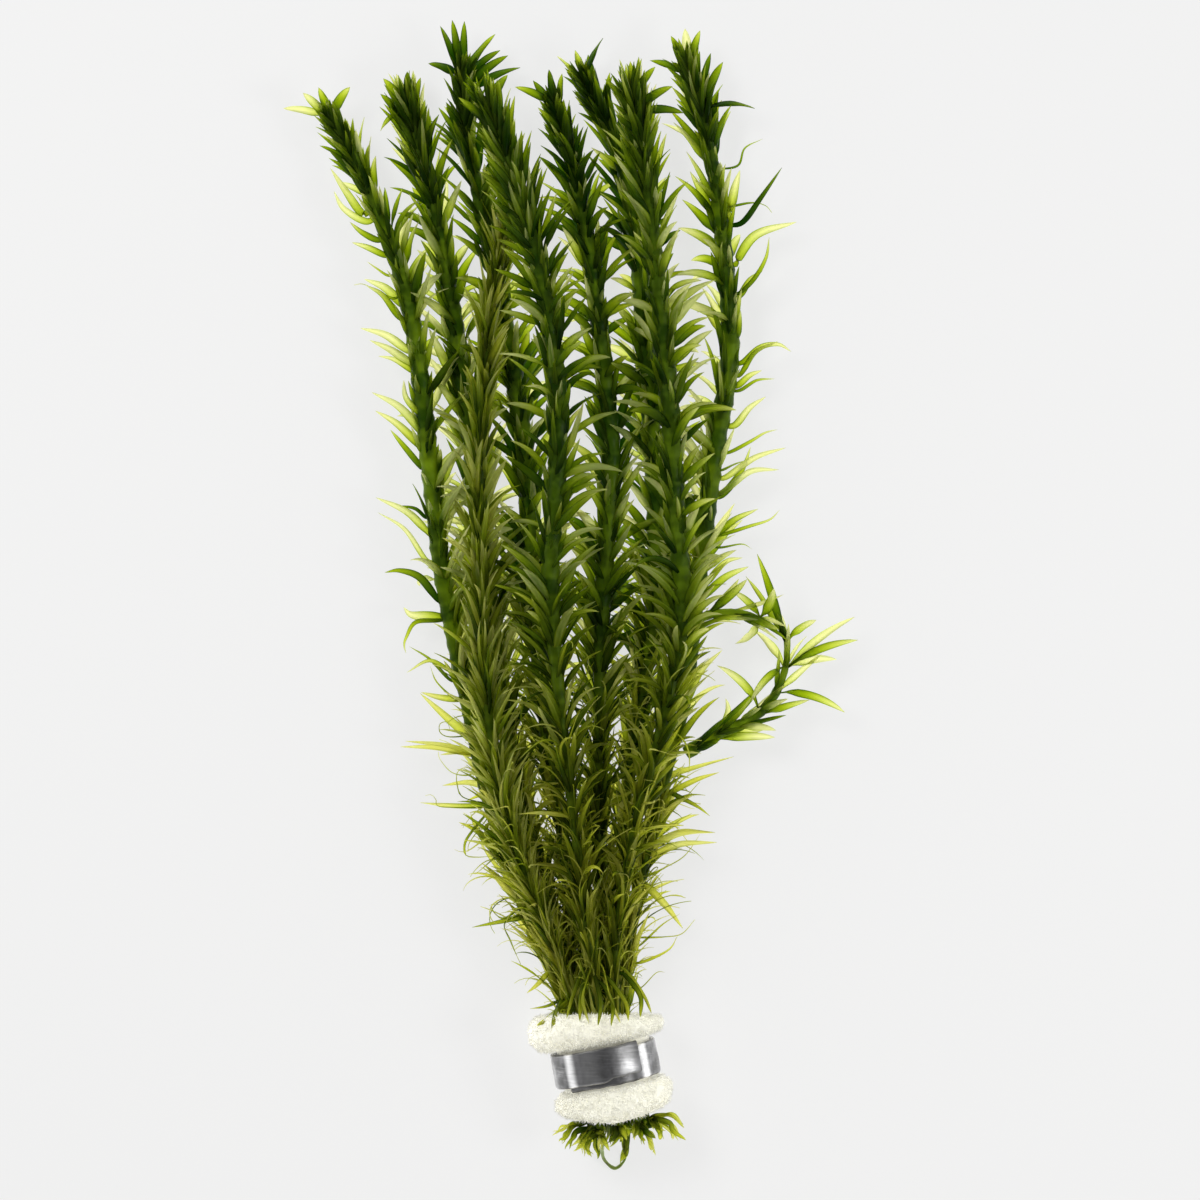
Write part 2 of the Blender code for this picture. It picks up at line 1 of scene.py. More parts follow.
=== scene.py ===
"""Dresses the frame of a lying bunch of Brazilian waterweed: every leaf of its stems and side shoots, the
foam round the cut ends, the strip of lead, the root thread and a pale studio.

The plan of the bunch is in millimetres, as in the construction, and the meshes are in metres. +Y runs
along the bunch to its growing tips, +X is to its right and +Z is up."""

import math
import random

import bpy
import numpy as np
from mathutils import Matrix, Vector, noise


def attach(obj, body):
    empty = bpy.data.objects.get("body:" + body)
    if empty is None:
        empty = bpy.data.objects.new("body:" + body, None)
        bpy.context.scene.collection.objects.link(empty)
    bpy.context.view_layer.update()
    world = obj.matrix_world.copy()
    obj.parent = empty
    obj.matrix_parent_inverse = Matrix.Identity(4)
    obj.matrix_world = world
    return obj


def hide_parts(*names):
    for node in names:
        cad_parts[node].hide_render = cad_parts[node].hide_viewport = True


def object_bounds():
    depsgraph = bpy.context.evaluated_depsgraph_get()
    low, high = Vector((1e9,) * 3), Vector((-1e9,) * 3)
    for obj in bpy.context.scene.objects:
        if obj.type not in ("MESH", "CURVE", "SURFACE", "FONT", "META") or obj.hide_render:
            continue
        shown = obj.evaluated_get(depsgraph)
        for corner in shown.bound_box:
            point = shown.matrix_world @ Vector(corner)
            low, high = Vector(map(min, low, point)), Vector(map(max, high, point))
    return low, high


bl_info = {
    "name": "Waterweed Bunch",
    "version": (1, 0, 0),
    "blender": (4, 5, 0),
    "location": "3D View > Sidebar > Waterweed",
    "description": "Builds a bunch of Brazilian waterweed in foam and lead, and the studio it lies in",
    "category": "Add Mesh",
}

MM = 0.001
UP = np.array((0.0, 0.0, 1.0))

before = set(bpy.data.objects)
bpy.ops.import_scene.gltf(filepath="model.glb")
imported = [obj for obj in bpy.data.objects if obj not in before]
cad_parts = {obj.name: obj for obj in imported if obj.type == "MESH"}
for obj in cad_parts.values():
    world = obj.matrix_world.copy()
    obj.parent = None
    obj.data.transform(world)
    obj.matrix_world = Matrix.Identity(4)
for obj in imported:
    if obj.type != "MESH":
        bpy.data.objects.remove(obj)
CAD_BOX = [list(corner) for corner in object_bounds()]
BOX_LOW = np.array(CAD_BOX[0]) / MM
BOX_HIGH = np.array(CAD_BOX[1]) / MM

# The wrapped end, as in the construction: its middle, its lean to the right and the ring of slots in it.
# Distances along it are from the lead's middle, and the cut ends of the stems are at the lowest
BAND_CENTRE = np.array((7.4, -92.9, 11.0))
BAND_LEAN = math.radians(11)
SLOT_RING = 5.6
CUT_END = -14.5
FOAM_TOP = 9.4
FOAM_HOLE = 7.4

# A stem's radius by distance from its growing tip, a side shoot's and a strand's as a share of it, and the
# cut of its mesh
GIRTH = (
    (0.0, 0.6), (12.0, 1.0), (30.0, 1.5), (60.0, 1.8), (95.0, 1.7), (120.0, 1.1), (150.0, 0.8),
    (230.0, 0.7),
)
SHOOT_SHARE = 0.85
STRAND_SHARE = 0.6
STEM_SIDES = 14
STEM_STEP = 0.8
BUD_LENGTH = 1.2

# The length and width, in metres, of the full-grown leaf that the sizes below are for
FULL_LENGTH = 0.014
FULL_WIDTH = 0.003

# How waterweed grows, by distance from the tip: gap to the next whorl, leaf length, leaf width,
# lean of a leaf's base from the stem and how far its tip curls outwards, both in degrees
HABIT = (
    (0.0, 0.8, 7.0, 1.1, 7, 4),
    (5.0, 1.2, 10.0, 1.3, 10, 8),
    (14.0, 1.9, 11.5, 1.4, 13, 16),
    (28.0, 3.0, 11.0, 1.7, 20, 38),
    (55.0, 4.0, 11.5, 1.95, 25, 48),
    (95.0, 3.4, 12.5, 1.75, 24, 44),
    (125.0, 2.5, 13.0, 1.35, 19, 32),
    (210.0, 2.0, 11.5, 1.15, 13, 20),
)

# How far a leaf's tone goes from its shoot's own tone to the brightest, by distance from the tip
LEAF_TONE = ((0.0, 0.0), (16.0, 0.06), (45.0, 0.7), (90.0, 0.8), (130.0, 0.5), (230.0, 0.35))

# Distances from the tip: the end of the densest leaves, of the shortened leaves of a bushy tip and of a
# plain stem's brush, the start of the fuller whorls on low stems, the stretch where placed leaves stand on
# the outside, and the stretch over which leaves turn old
DENSE_TO = 14.0
BUSHY_TO = 24.0
PLAIN_BRUSH = 28.0
THICK_FROM = 55.0
STRAYS_FROM = 20.0
STRAYS_TO = 150.0
OLD_FROM = 95.0
OLD_TO = 150.0

# Distances from the cut end: the foot without whorls, and how far the wrap holds the leaves in
FIRST_LEAVES = 3.0
HELD_TO = 24.0
HELD_OVER = 26.0

# How many leaves a whorl has: at the dense tip, in the brush, below it, when old, on a side shoot, how many
# more a low stem has, and how many further leaves hug a stem from above
DENSE_WHORL = 7
BRUSH_WHORL = 6
OPEN_WHORL = (4, 5, 6)
OLD_WHORL = 8
SHOOT_WHORL = 2
THICKER = 2
HUGGING = 2

# Shares of the leaves: missing over the top, at the sides, on a whorl's whole flank and over the top when
# old, then lying along the stem over the top, and, of the oldest, standing astray or curled up like wire
BARE_TOP = 0.12
BARE_SIDE = 0.15
BARE_FLANK = 0.22
OLD_BARE_TOP = 0.15
FLAT_TOP = 0.5
ASTRAY = 0.22
WIRY = 0.4

# What a wiry leaf's width and curl are multiplied by, what a strand's leaf width, lean and whorl gaps are,
# and the least age of an olive stem's leaves and of the stem itself
WIRY_WIDTH = 0.3
WIRY_CURL = 2.2
STRAND_WIDTH = 0.7
STRAND_LEAN = 0.55
STRAND_GAP = 0.55
OLIVE_LEAF_AGE = 0.6
OLIVE_STEM_AGE = 0.55

# Round a stem: how high a leaf starts to count as over the top, how far out as outside, and the angle by
# which each whorl is turned from the last
OVER_TOP = 0.5
OUTSIDE = 0.2
WHORL_TURN = 0.63

# At a cut end: the leaf scraps round it, the thin strips that each torn leaf is drawn as, and the crushed
# leaves above it in the foam's hole
CUT_SCRAPS = 9
TORN_STRIPS = 3
CRUSHED = 12

# The eleven shoots. Each has a tone from dark 0 to bright 1, how far the dense brush at its tip reaches,
# its route to the tip, and as its crown the tips of its topmost leaves. The dark tones of the low stems,
# which lie under the others, are partly painted shade. A stem also has its slot in the foam, as an angle or
# None for the middle one. Where a shoot has them, spread is how much further its brush leans out, paling
# how much of the leaf tone it takes, bushy how short the leaves at its very tip are, outside the side where
# placed leaves stand for its own, low a stem below the rest with fuller whorls, olive an old stem, and
# strands a thin stem with narrow leaves close together
STEMS = {
    "stem_right": {
        "slot": 45, "tone": 0.38, "brush": 36, "spread": 1.25, "paling": 0.8,
        "route": (
            (9.2, -68.5, 15.5), (13.2, -44.5, 16), (19.6, -20.5, 16), (22.4, -2, 15.6),
            (21.2, 15.5, 15), (19.8, 39.5, 15), (17.4, 63.5, 15), (14.8, 86, 15.5), (12.4, 100, 16),
        ),
        "crown": ((12, 106.5, 17), (17, 105.5, 16), (20.4, 101.5, 17), (22.6, 96.5, 14), (7, 103, 17)),
    },
    "stem_front": {
        "slot": 90, "tone": 0.28, "brush": 56, "spread": 1.5, "paling": 0.55,
        "route": (
            (3.8, -68.5, 17), (0.8, -44.5, 17.5), (-2, -20.5, 17), (-3.8, 3.5, 16.5),
            (-2.4, 27.5, 16.5), (-2.6, 43, 17), (-5.8, 63.5, 17.5), (-11, 82, 18), (-16.2, 98, 18.5),
        ),
        "crown": ((-17, 103.5, 19), (-20.4, 103, 18), (-14, 102.5, 19), (-12.4, 104, 15), (-22, 99, 20)),
    },
    "stem_far_right": {
        "slot": 0, "tone": 0.35, "brush": 26, "bushy": 0.8, "outside": 1, "paling": 1.3,
        "route": (
            (12, -68.5, 10.5), (17, -44.5, 9), (23.2, -20.5, 8.5), (25.8, 3.5, 8.5), (28.8, 27.5, 8.5),
            (32, 48, 8.5), (31.2, 66, 8.5), (28.4, 87.5, 9), (23.6, 106.5, 9.5),
        ),
        "crown": (
            (20.2, 112.3, 10), (23, 113.9, 9), (26, 113.3, 11), (28.2, 109.1, 8), (30.6, 107.1, 10),
            (16, 107.5, 9), (37, 97.9, 9),
        ),
    },
    "stem_far_left": {
        "slot": 180, "tone": 0.4, "brush": 20, "bushy": 0.55, "outside": -1, "paling": 1.3,
        "route": (
            (-6, -68.5, 10.5), (-15.6, -44.5, 9), (-21, -20.5, 8.5), (-25.4, 3.5, 8.5),
            (-28.2, 27.5, 8.5), (-31, 51.5, 8.5), (-34.6, 67, 8.5), (-41, 83, 8.5), (-48.2, 96.5, 9),
        ),
        "crown": ((-57.4, 97.9, 9), (-53.4, 100.9, 10), (-50.4, 102.2, 8), (-44, 102.1, 10)),
    },
    "stem_left_high": {
        "slot": 135, "tone": 0.5, "brush": 20, "olive": True, "strands": True,
        "route": (
            (-3.6, -68.5, 15.4), (-12.4, -44.5, 15), (-16.6, -20.5, 14.2), (-17.8, 3.5, 14),
            (-17.8, 27.5, 14), (-16.4, 51.5, 13), (-14.6, 63.5, 11.8), (-12.6, 75, 11),
        ),
        "crown": (),
    },
    "stem_centre": {
        "slot": None, "tone": 0.1, "brush": 24, "bushy": 0.6, "low": True, "paling": 0.6,
        "route": (
            (6, -68.5, 11.4), (5.6, -44.5, 10.6), (5.8, -20.5, 9.6), (6.8, 3.5, 9), (8.3, 24, 9),
            (7.4, 39.5, 9), (5, 62, 9), (2, 80, 9.5), (-3.2, 99, 10),
        ),
        "crown": ((-7.4, 103.5, 9), (-4.2, 105.5, 11), (-1.6, 104.9, 9), (-11, 102.1, 10)),
    },
    "stem_left_low": {
        "slot": 225, "tone": 0.22, "brush": 28, "low": True, "paling": 1.15,
        "route": (
            (-1.6, -68.5, 6.5), (-8.6, -44.5, 6.2), (-13.4, -20.5, 6.2), (-16.8, 3.5, 6.2),
            (-19.4, 27.5, 6.2), (-22.6, 51.5, 6.5), (-26.8, 75.5, 7), (-32.4, 98.5, 8),
        ),
        "crown": (
            (-37.4, 103.9, 9), (-34.8, 104.9, 8), (-32.6, 105.3, 9), (-30, 104.3, 7), (-38, 100.9, 8),
            (-38, 93.5, 8),
        ),
    },
    "stem_tallest": {
        "slot": 270, "tone": 0.08, "brush": 26, "bushy": 0.7, "low": True, "paling": 0.7,
        "route": (
            (1.8, -68.5, 5.6), (-2.4, -44.5, 5.6), (-5.8, -20.5, 5.8), (-7.8, 3.5, 6), (-9, 27.5, 6),
            (-12.4, 51.5, 6), (-17.2, 75.5, 6.5), (-20.8, 93, 7), (-21.6, 104.8, 8),
        ),
        "crown": (
            (-26, 114.5, 8), (-23.6, 115.6, 9), (-21.2, 115.6, 7), (-15, 112.9, 8), (-14, 109.9, 6),
            (-12.4, 108.5, 9), (-10, 106.3, 7), (-28.4, 107, 8),
        ),
    },
    "stem_bent_tip": {
        "slot": 315, "tone": 0.1, "brush": 22, "bushy": 0.7, "low": True, "paling": 0.7,
        "route": (
            (8.2, -68.5, 6.2), (10.8, -44.5, 5.8), (14.2, -20.5, 6), (17.2, 3.5, 6), (16.6, 27.5, 6.2),
            (15, 51.5, 6.2), (12.8, 75.5, 6.4), (9, 91, 6.8), (2.6, 104, 7.6),
        ),
        "crown": ((-2.6, 108.5, 8), (1, 109.7, 8), (3.6, 109, 6), (6.6, 112.1, 8)),
    },
}
SIDE_SHOOTS = {
    "side_shoot_long": {
        "tone": 0.75, "brush": 10,
        "route": (
            (23.2, -31.2, 9), (29, -27.6, 9.6), (35, -25, 10), (39.6, -21.4, 10), (42.2, -16.8, 10),
            (43.4, -12.2, 10), (43.2, -8.2, 10),
        ),
        "crown": (
            (37.4, 8.7, 11), (49.2, -4.5, 12), (57.0, -3.9, 9), (57.6, -8.5, 10), (53.4, -12.4, 8),
            (55.0, -23.0, 9), (35.2, 4.2, 9), (37.0, -6.6, 8), (37.6, -18.5, 9), (41.0, -28.0, 9),
            (29.4, -13.6, 10), (36.2, -20.7, 12), (39.2, -26.4, 7),
        ),
    },
    "side_shoot_short": {
        "tone": 0.8, "brush": 6,
        "route": ((24.9, -4.6, 15.6), (29, -3.1, 15.4), (34.4, -3.1, 14.8), (38.2, -4.4, 14.4)),
        "crown": ((35.2, 3.6, 17), (32.6, 1.2, 14), (40.6, 1.8, 15), (33.0, -9.2, 13), (41.6, -6.4, 15)),
    },
}
SHOOT_WHORL_GAP = 5.2

# The placed leaves, by their stem: each one's width, its tone, and the points it passes through from its
# foot to its tip, seen from above, some with a height. Most stand out against the floor at either side of
# the bunch, those narrower than the thread width are curled threads, and those with heights hang over the
# upper edge of the foam
STRAYS = {
    "stem_far_left": (
        (1.8, 0.8, (-41.6, 77), (-45, 81.5), (-48, 86)),
        (1.6, 0.9, (-41, 75.4), (-45.4, 78), (-47.4, 81.5)),
        (1.4, 0.5, (-38.4, 71.5), (-41.6, 73), (-44, 75)),
        (1.4, 0.7, (-37, 68.5), (-40.4, 70), (-43.6, 71)),
        (0.6, 0.6, (-36.4, 64.5), (-38.8, 66), (-40.8, 67.4)),
        (2, 0.8, (-33.4, 58.5), (-37, 62), (-41.2, 63.8)),
        (0.7, 0.7, (-36, 60), (-41, 62.6), (-43.2, 62.5)),
        (1.5, 0.6, (-34, 56), (-37.4, 60.4), (-40.8, 62.4)),
        (1.9, 1, (-32.4, 49.5), (-37, 52.6), (-42, 54)), (1.9, 1, (-32, 47), (-36, 49.6), (-40, 51.4)),
        (1.3, 0.8, (-31, 45), (-35, 47.6), (-38.4, 48.4)),
        (1.3, 0.8, (-30.4, 37), (-32.8, 40), (-33.2, 43.4)),
        (1.9, 0.9, (-29.2, 32.5), (-34, 38), (-39.6, 41)),
        (1.8, 0.8, (-29.2, 29.5), (-34.4, 34.6), (-39, 37.4)),
        (1.3, 0.4, (-29.2, 25.5), (-33, 30), (-36, 33.6)),
        (0.8, 0.1, (-28.8, 16), (-31, 17.8), (-34.4, 18.4)),
        (1.7, 0.9, (-28, 12.5), (-32.4, 17), (-38.8, 20)), (1.2, 1, (-28.8, 7.5), (-33, 13.6), (-38.4, 17)),
        (1.7, 0.2, (-26.4, -0.5), (-30, 4), (-34, 5.4), (-37, 5)),
        (2.4, 0.8, (-26, -4), (-29.2, -3.8), (-32, -3.4), (-33.4, -2)),
        (1, 0.5, (-27, -4.6), (-31, -5), (-32.8, -8), (-33.2, -9.6), (-32.8, -11.2)),
        (0.8, 0.3, (-24, -16.5), (-28, -12.4), (-32.2, -9.8)),
        (1, 0.7, (-23.6, -15), (-28, -12.6), (-32.6, -15)),
        (0.5, 0.5, (-22.8, -20.5), (-26.6, -17), (-28, -13.6)),
        (1.4, 0.8, (-21.6, -20.5), (-26, -20), (-29.8, -19)),
        (2, 0.7, (-16, -31.5), (-23, -25.5), (-30, -19.2)),
        (1.6, 0.9, (-17, -31.9), (-26, -30.1), (-34, -29.9)),
        (1, 0.9, (-18, -31.5), (-25, -29.5), (-33, -28.7)),
        (0.4, 0.3, (-19, -27.5), (-24, -27.9), (-26, -27), (-26, -25.3), (-24.6, -24.9), (-24, -26.3)),
        (1.4, 0.9, (-15.6, -31.9), (-21, -30.9), (-26, -31.5)),
        (0.4, 0.6, (-17.6, -33.5), (-20, -35.5), (-23.6, -35.1), (-26, -32.5), (-26.4, -30.9)),
        (
            0.5, 0.4, (-18, -41), (-21.6, -39.9), (-22.6, -37.5), (-22.6, -35.1), (-21.2, -34.1),
            (-20, -34.3),
        ),
        (1.7, 0.9, (-14.6, -38.9), (-20, -37.1), (-25.6, -37.7)),
        (1.2, 0.8, (-16, -41.7), (-23, -41.7), (-30, -41.1)),
        (0.4, 0.5, (-18, -42), (-26, -41.9), (-26.8, -40.5), (-27.8, -39.5), (-29, -39.7)),
        (
            0.6, 0.4, (-16, -42.5), (-19.4, -46.5), (-21, -49.1), (-20.8, -51.5), (-18.6, -51.9),
            (-15.6, -51.7),
        ),
        (0.5, 0.4, (-16, -43.5), (-20, -48.9), (-20.4, -50.9)),
        (0.5, 0.2, (-13, -50), (-17, -53.7), (-19, -55.3)),
        (2.2, 1, (-9, -61.5), (-13, -57.5), (-16.6, -53.7)),
        (0.5, 0.2, (-9, -61.1), (-13, -64.1), (-15.2, -62.9), (-15.6, -61.5), (-14, -61.3)),
        (1.7, 0.1, (-2, -61.5), (-11, -64.1), (-19.6, -65.9)),
        (0.5, 0.2, (-8, -63), (-13, -64.9), (-11.8, -68.7), (-10.4, -71.9), (-9.8, -73.1)),
        (1.2, 0.8, (-4.4, -74.9), (-6.4, -77.1), (-8.6, -78.9)),
        (0.8, 0.3, (-3, -81), (-5, -81.8), (-8, -82.3)),
        (1.6, 0.2, (-1, -79.5), (-2.6, -83, 18.5), (-3.4, -86.6, 20)),
        (1.2, 0.5, (0, -80, 14), (-4, -83.4, 17), (-6.6, -85, 17.5)),
    ),
    "stem_far_right": (
        (0.5, 0.4, (33.6, 86.5), (35, 90), (38.6, 91.9)), (2, 0.8, (32, 78), (33, 82), (34, 85.5)),
        (1.3, 0, (34.4, 75), (38.2, 80), (42.4, 86)),
        (0.6, 0.4, (36, 79), (39, 78.5), (40.4, 77)), (2, 0.8, (32.6, 66), (37, 72.5), (45.4, 75.3)),
        (1, 0.5, (34, 61), (37, 64), (39.2, 68), (39.8, 72)),
        (1.4, 0.6, (34, 60.5), (36, 63.5), (38.6, 65.5)),
        (1.3, 0.7, (34.4, 47), (38, 50), (41.6, 50.6), (44.2, 49.1)),
        (1.2, 0.6, (34, 44.5), (37, 49), (41.6, 51.2)), (1.4, 0.7, (33.6, 42.5), (36, 44.5), (38.4, 45.5)),
        (0.8, 0.5, (34, 41.5), (37.4, 43.5), (41, 43.8)), (1.5, 0.9, (33, 34.5), (36, 38), (39.2, 40.2)),
        (0.8, 0.6, (31.6, 29), (36, 31.2), (39, 33), (41.6, 33.7)),
        (1.4, 1, (31, 24), (37, 28), (43.2, 30)), (1.6, 0.5, (30.4, 20.5), (34.4, 25.5), (36.2, 30.2)),
        (1.4, 1, (30.4, 21), (36, 25.2), (41.8, 25.6)), (0.6, 0.5, (30.4, 25.5), (33, 26.7), (35.8, 27.6)),
        (1.5, 0.6, (29, 12.5), (33, 15.6), (37.6, 17.7)),
        (0.8, 0.6, (30, 12.5), (36, 14.3), (40, 15.6), (42, 17.6)),
        (1.8, 0.6, (27, 7.5), (31, 12.6), (34.6, 15.6)), (0.5, 0.4, (30, 10), (34.4, 10.7), (36.4, 9.7)),
        (1.4, 0.7, (27, 2.5), (31, 7), (34.6, 8)), (1.7, 0.6, (26, -0.5), (31, 4), (35.8, 6.2)),
        (1.8, 0.8, (23.6, -20.5), (26, -14.9), (30.4, -10.5)),
        (1.5, 0.7, (14, -40.5), (19, -36.1), (26, -33.7), (32.8, -31.9)),
        (1.3, 0.7, (19, -39.5), (25, -36.5), (29.8, -34.9)),
        (0.6, 0.3, (17, -44.9), (22, -41.1), (26, -36.9)),
        (1.1, 0.2, (19, -38.5), (25, -41.5), (28, -43.7)), (1.8, 1, (16, -50.1), (22, -47.1), (29, -46.9)),
        (1.6, 1, (16.4, -51.5), (22, -49.3), (29.4, -48.9)),
        (0.6, 0.5, (14, -56.5), (19, -54.1), (23, -51.7), (26, -47.5)),
        (0.4, 0.5, (14, -53.5), (18, -56.5), (18.4, -59.1)),
        (1.7, 0.9, (14, -56.5), (19, -61.5), (22.6, -66.3)),
        (0.5, 0.4, (14, -69.5), (18.4, -65.5), (22, -63.3)),
        (0.5, 0.5, (14, -68), (19, -67.9), (22.4, -67.3), (25, -64.5)),
        (0.7, 0.6, (14, -73), (19.6, -70.5), (21.6, -67.5)),
        (0.5, 0.4, (14, -78), (17.2, -74.9), (19, -74.7)),
    ),
    "stem_front": (
        (0.9, 0.1, (3.4, -74, 18), (2.2, -79, 20.8), (2, -83.6, 23.2)),
        (0.7, 0.6, (4.4, -73, 18.4), (2.6, -79, 21.4), (3.8, -84, 24)),
        (1.0, 0, (5, -75, 19), (6.2, -80, 22.6), (5.6, -84.4, 24.6)),
        (0.8, 0.3, (2.6, -74, 17.4), (0.6, -79, 19.6), (-0.6, -83.2, 22)),
        (0.9, 0.1, (6, -76, 19), (8.4, -80, 22.4), (8.2, -84.5, 24.8)),
        (0.7, 0.7, (6.4, -73, 18.4), (8, -79, 21.8), (10, -83.9, 24.4)),
        (0.9, 0.2, (7, -75, 18), (11, -80, 21.4), (11.6, -83.5, 23.6)),
    ),
    "stem_right": (
        (1.0, 0.1, (11, -75, 17), (14, -79, 18.6), (14, -83, 21.4)),
        (0.8, 0.5, (11, -74), (14.6, -79, 16.6), (16.2, -82.4, 19)),
    ),
}

# The torn leaf ends below the foam, by stem, in the same form: each is drawn as ragged olive strips
SCRAPS = {
    "stem_far_left": (
        (1.8, 0.4, (2.4, -104.9), (-0.6, -106.2), (-1.6, -109.2)),
        (1.5, 0.2, (3.4, -105.9), (0.8, -107), (-0.2, -109.9)),
        (1.6, 0.5, (3.8, -106.4), (2.2, -108), (1.5, -110.3)),
        (1.3, 0.7, (2.6, -105.2), (-1, -105.4), (-3, -107.2)),
        (1.2, 0.1, (4.2, -105.5), (2.8, -107.4), (2.6, -109)),
    ),
    "stem_left_high": (
        (1.8, 0.3, (4.6, -105.9), (3.6, -108.3), (4, -111)),
        (1.7, 0.15, (5.4, -105.9), (5, -108.7), (5.5, -111.6)),
        (1.4, 0.5, (6, -106), (6.2, -108.2), (6.1, -109.6)),
        (1.2, 0.6, (4.4, -106), (3, -108.6), (2.8, -110.6)),
    ),
    "stem_front": (
        (1.3, 0.2, (7.6, -105.4, 12), (7.2, -107.4, 9), (6.7, -110.4, 7.4)),
        (2.4, 0, (9, -105.4), (8.6, -107), (8.4, -108.2)),
        (2.2, 0.1, (10, -105.2), (10.2, -107), (10, -108.4)),
    ),
    "stem_tallest": (
        (2.2, 0.3, (11.4, -105.2), (11.3, -108.6, 5.6), (10.9, -111.4, 4.2), (10, -114.1, 3.4)),
        (1.6, 0.1, (12, -105.4), (12, -108.2)),
    ),
    "stem_right": (
        (1.8, 0.3, (13.2, -105), (14, -107.2), (15, -108.6)),
        (1.5, 0.6, (14.6, -104.9), (15.8, -107.6), (16.4, -110.4)),
        (1.8, 0.15, (14, -104.9), (15.6, -106.4), (17, -107.4)),
    ),
    "stem_far_right": (
        (2, 0.3, (16.2, -104.2), (17.8, -106.2), (18.2, -108.1)),
        (2, 0.4, (17, -103.9), (20.2, -105.2), (22.3, -108.2)),
        (1.8, 0.3, (17.4, -103.4), (20.6, -103.5), (22.8, -105.2)),
        (1.2, 0.6, (17, -103.9), (19.6, -106), (20.4, -108)),
    ),
}
THREAD_WIDTH = 0.75

# A leaf's mesh: stations along a grown leaf and along a placed one, and its section as shares of its half
# width and half thickness
LEAF_STATIONS = 12
PLACED_STATIONS = 26
LEAF_SECTION = ((-1.0, 0.0), (0.0, 1.0), (1.0, 0.0), (0.0, -1.4))

# Where along a leaf it is fully turned flat, how high a low leaf rests over the floor, how sharply it bends
# to do so, and the least height of any of its points
FLAT_BY = 0.35
RESTS_AT = 0.35
REST_BEND = 2.2
LEAST_HEIGHT = 0.04

# How far leaves keep from other stems and from the frame's box, how far a leaf on top of a stem is sent to
# a side, and the tries at a leaf that meets another stem, each a share of its lean and curl and a turn
STEM_CLEARANCE = 0.3
BOX_MARGIN = 0.6
LEAST_SIDEWAYS = 0.45
EASES = (
    (1.0, 0), (0.85, 14), (0.85, -14), (0.65, 0), (0.65, 26), (0.65, -26), (0.45, 0), (0.45, 20),
    (0.45, -20), (0.25, 0), (0.1, 0),
)


def mix(table, distance, column):
    """The value in a column of a table at this distance from the tip, between its rows."""
    return float(np.interp(distance, [row[0] for row in table], [row[column] for row in table]))


def unit(vector):
    """The vector, or each row of an array of them, at length 1."""
    return vector / np.linalg.norm(vector, axis=-1, keepdims=True)


def base_point(distance, radius=0.0, angle=0.0):
    """A point by its distance along the wrapped end's axis, and its radius and angle round it."""
    along = np.array((-math.sin(BAND_LEAN), math.cos(BAND_LEAN), 0.0))
    right = np.cross(along, UP)
    return BAND_CENTRE + along * distance + (right * math.cos(angle) + UP * math.sin(angle)) * radius


def through(points, step, closed=False):
    """A smooth line through the points, as an array of points about a step apart."""
    points = [np.array(p, float) for p in points]
    if closed:
        ends = [points[-1], *points, points[0], points[1]]
    else:
        ends = [points[0] * 2 - points[1], *points, points[-1] * 2 - points[-2]]
    line = []
    for a, b, c, d in zip(ends, ends[1:], ends[2:], ends[3:]):
        count = max(1, round(float(np.linalg.norm(c - b)) / step))
        for t in np.arange(count) / count:
            square, cube = 2 * a - 5 * b + 4 * c - d, 3 * b - a - 3 * c + d
            line.append(0.5 * (2 * b + (c - a) * t + square * t**2 + cube * t**3))
    if not closed:
        line.append(points[-1])
    return np.array(line)


class Route:
    """A shoot's centre line, read by distance from its growing tip."""

    def __init__(self, points):
        self.points = through(points, 1.0)[::-1]
        steps = np.linalg.norm(np.diff(self.points, axis=0), axis=1)
        self.stops = np.concatenate([[0.0], np.cumsum(steps)])
        self.length = self.stops[-1]

    def at(self, distance):
        """The point there, and the directions onwards to the tip, to the side and over the top."""
        point, before, after = (
            np.array([np.interp(d, self.stops, self.points[:, i]) for i in range(3)])
            for d in (distance, max(0.0, distance - 1.0), min(self.length, distance + 1.0))
        )
        onwards = unit(before - after)
        side = unit(np.cross(onwards, UP))
        return point, onwards, side, np.cross(side, onwards)


def route_of(spec):
    """A shoot's route: a stem's starts at its cut end and goes through its slot in the foam."""
    if "slot" not in spec:
        return Route(spec["route"])
    radius = 0.0 if spec["slot"] is None else SLOT_RING
    angle = math.radians(spec["slot"] or 0)
    inside = [base_point(d, radius, angle) for d in (CUT_END, -6.0, 2.0, FOAM_TOP)]
    return Route([*inside, *spec["route"]])


def radius_at(distance, spec):
    """A shoot's radius by distance from the tip."""
    share = STRAND_SHARE if "strands" in spec else 1.0
    return mix(GIRTH, distance, 1) * (share if "slot" in spec else SHOOT_SHARE)


def age_at(distance):
    """How old a shoot is at a distance from the tip, from young 0 to old 1."""
    return float(np.clip((distance - OLD_FROM) / (OLD_TO - OLD_FROM), 0, 1))


def kept_in(line, margin):
    """The points, held inside the frame's box by a margin."""
    return np.clip(line, BOX_LOW + margin, BOX_HIGH - margin)


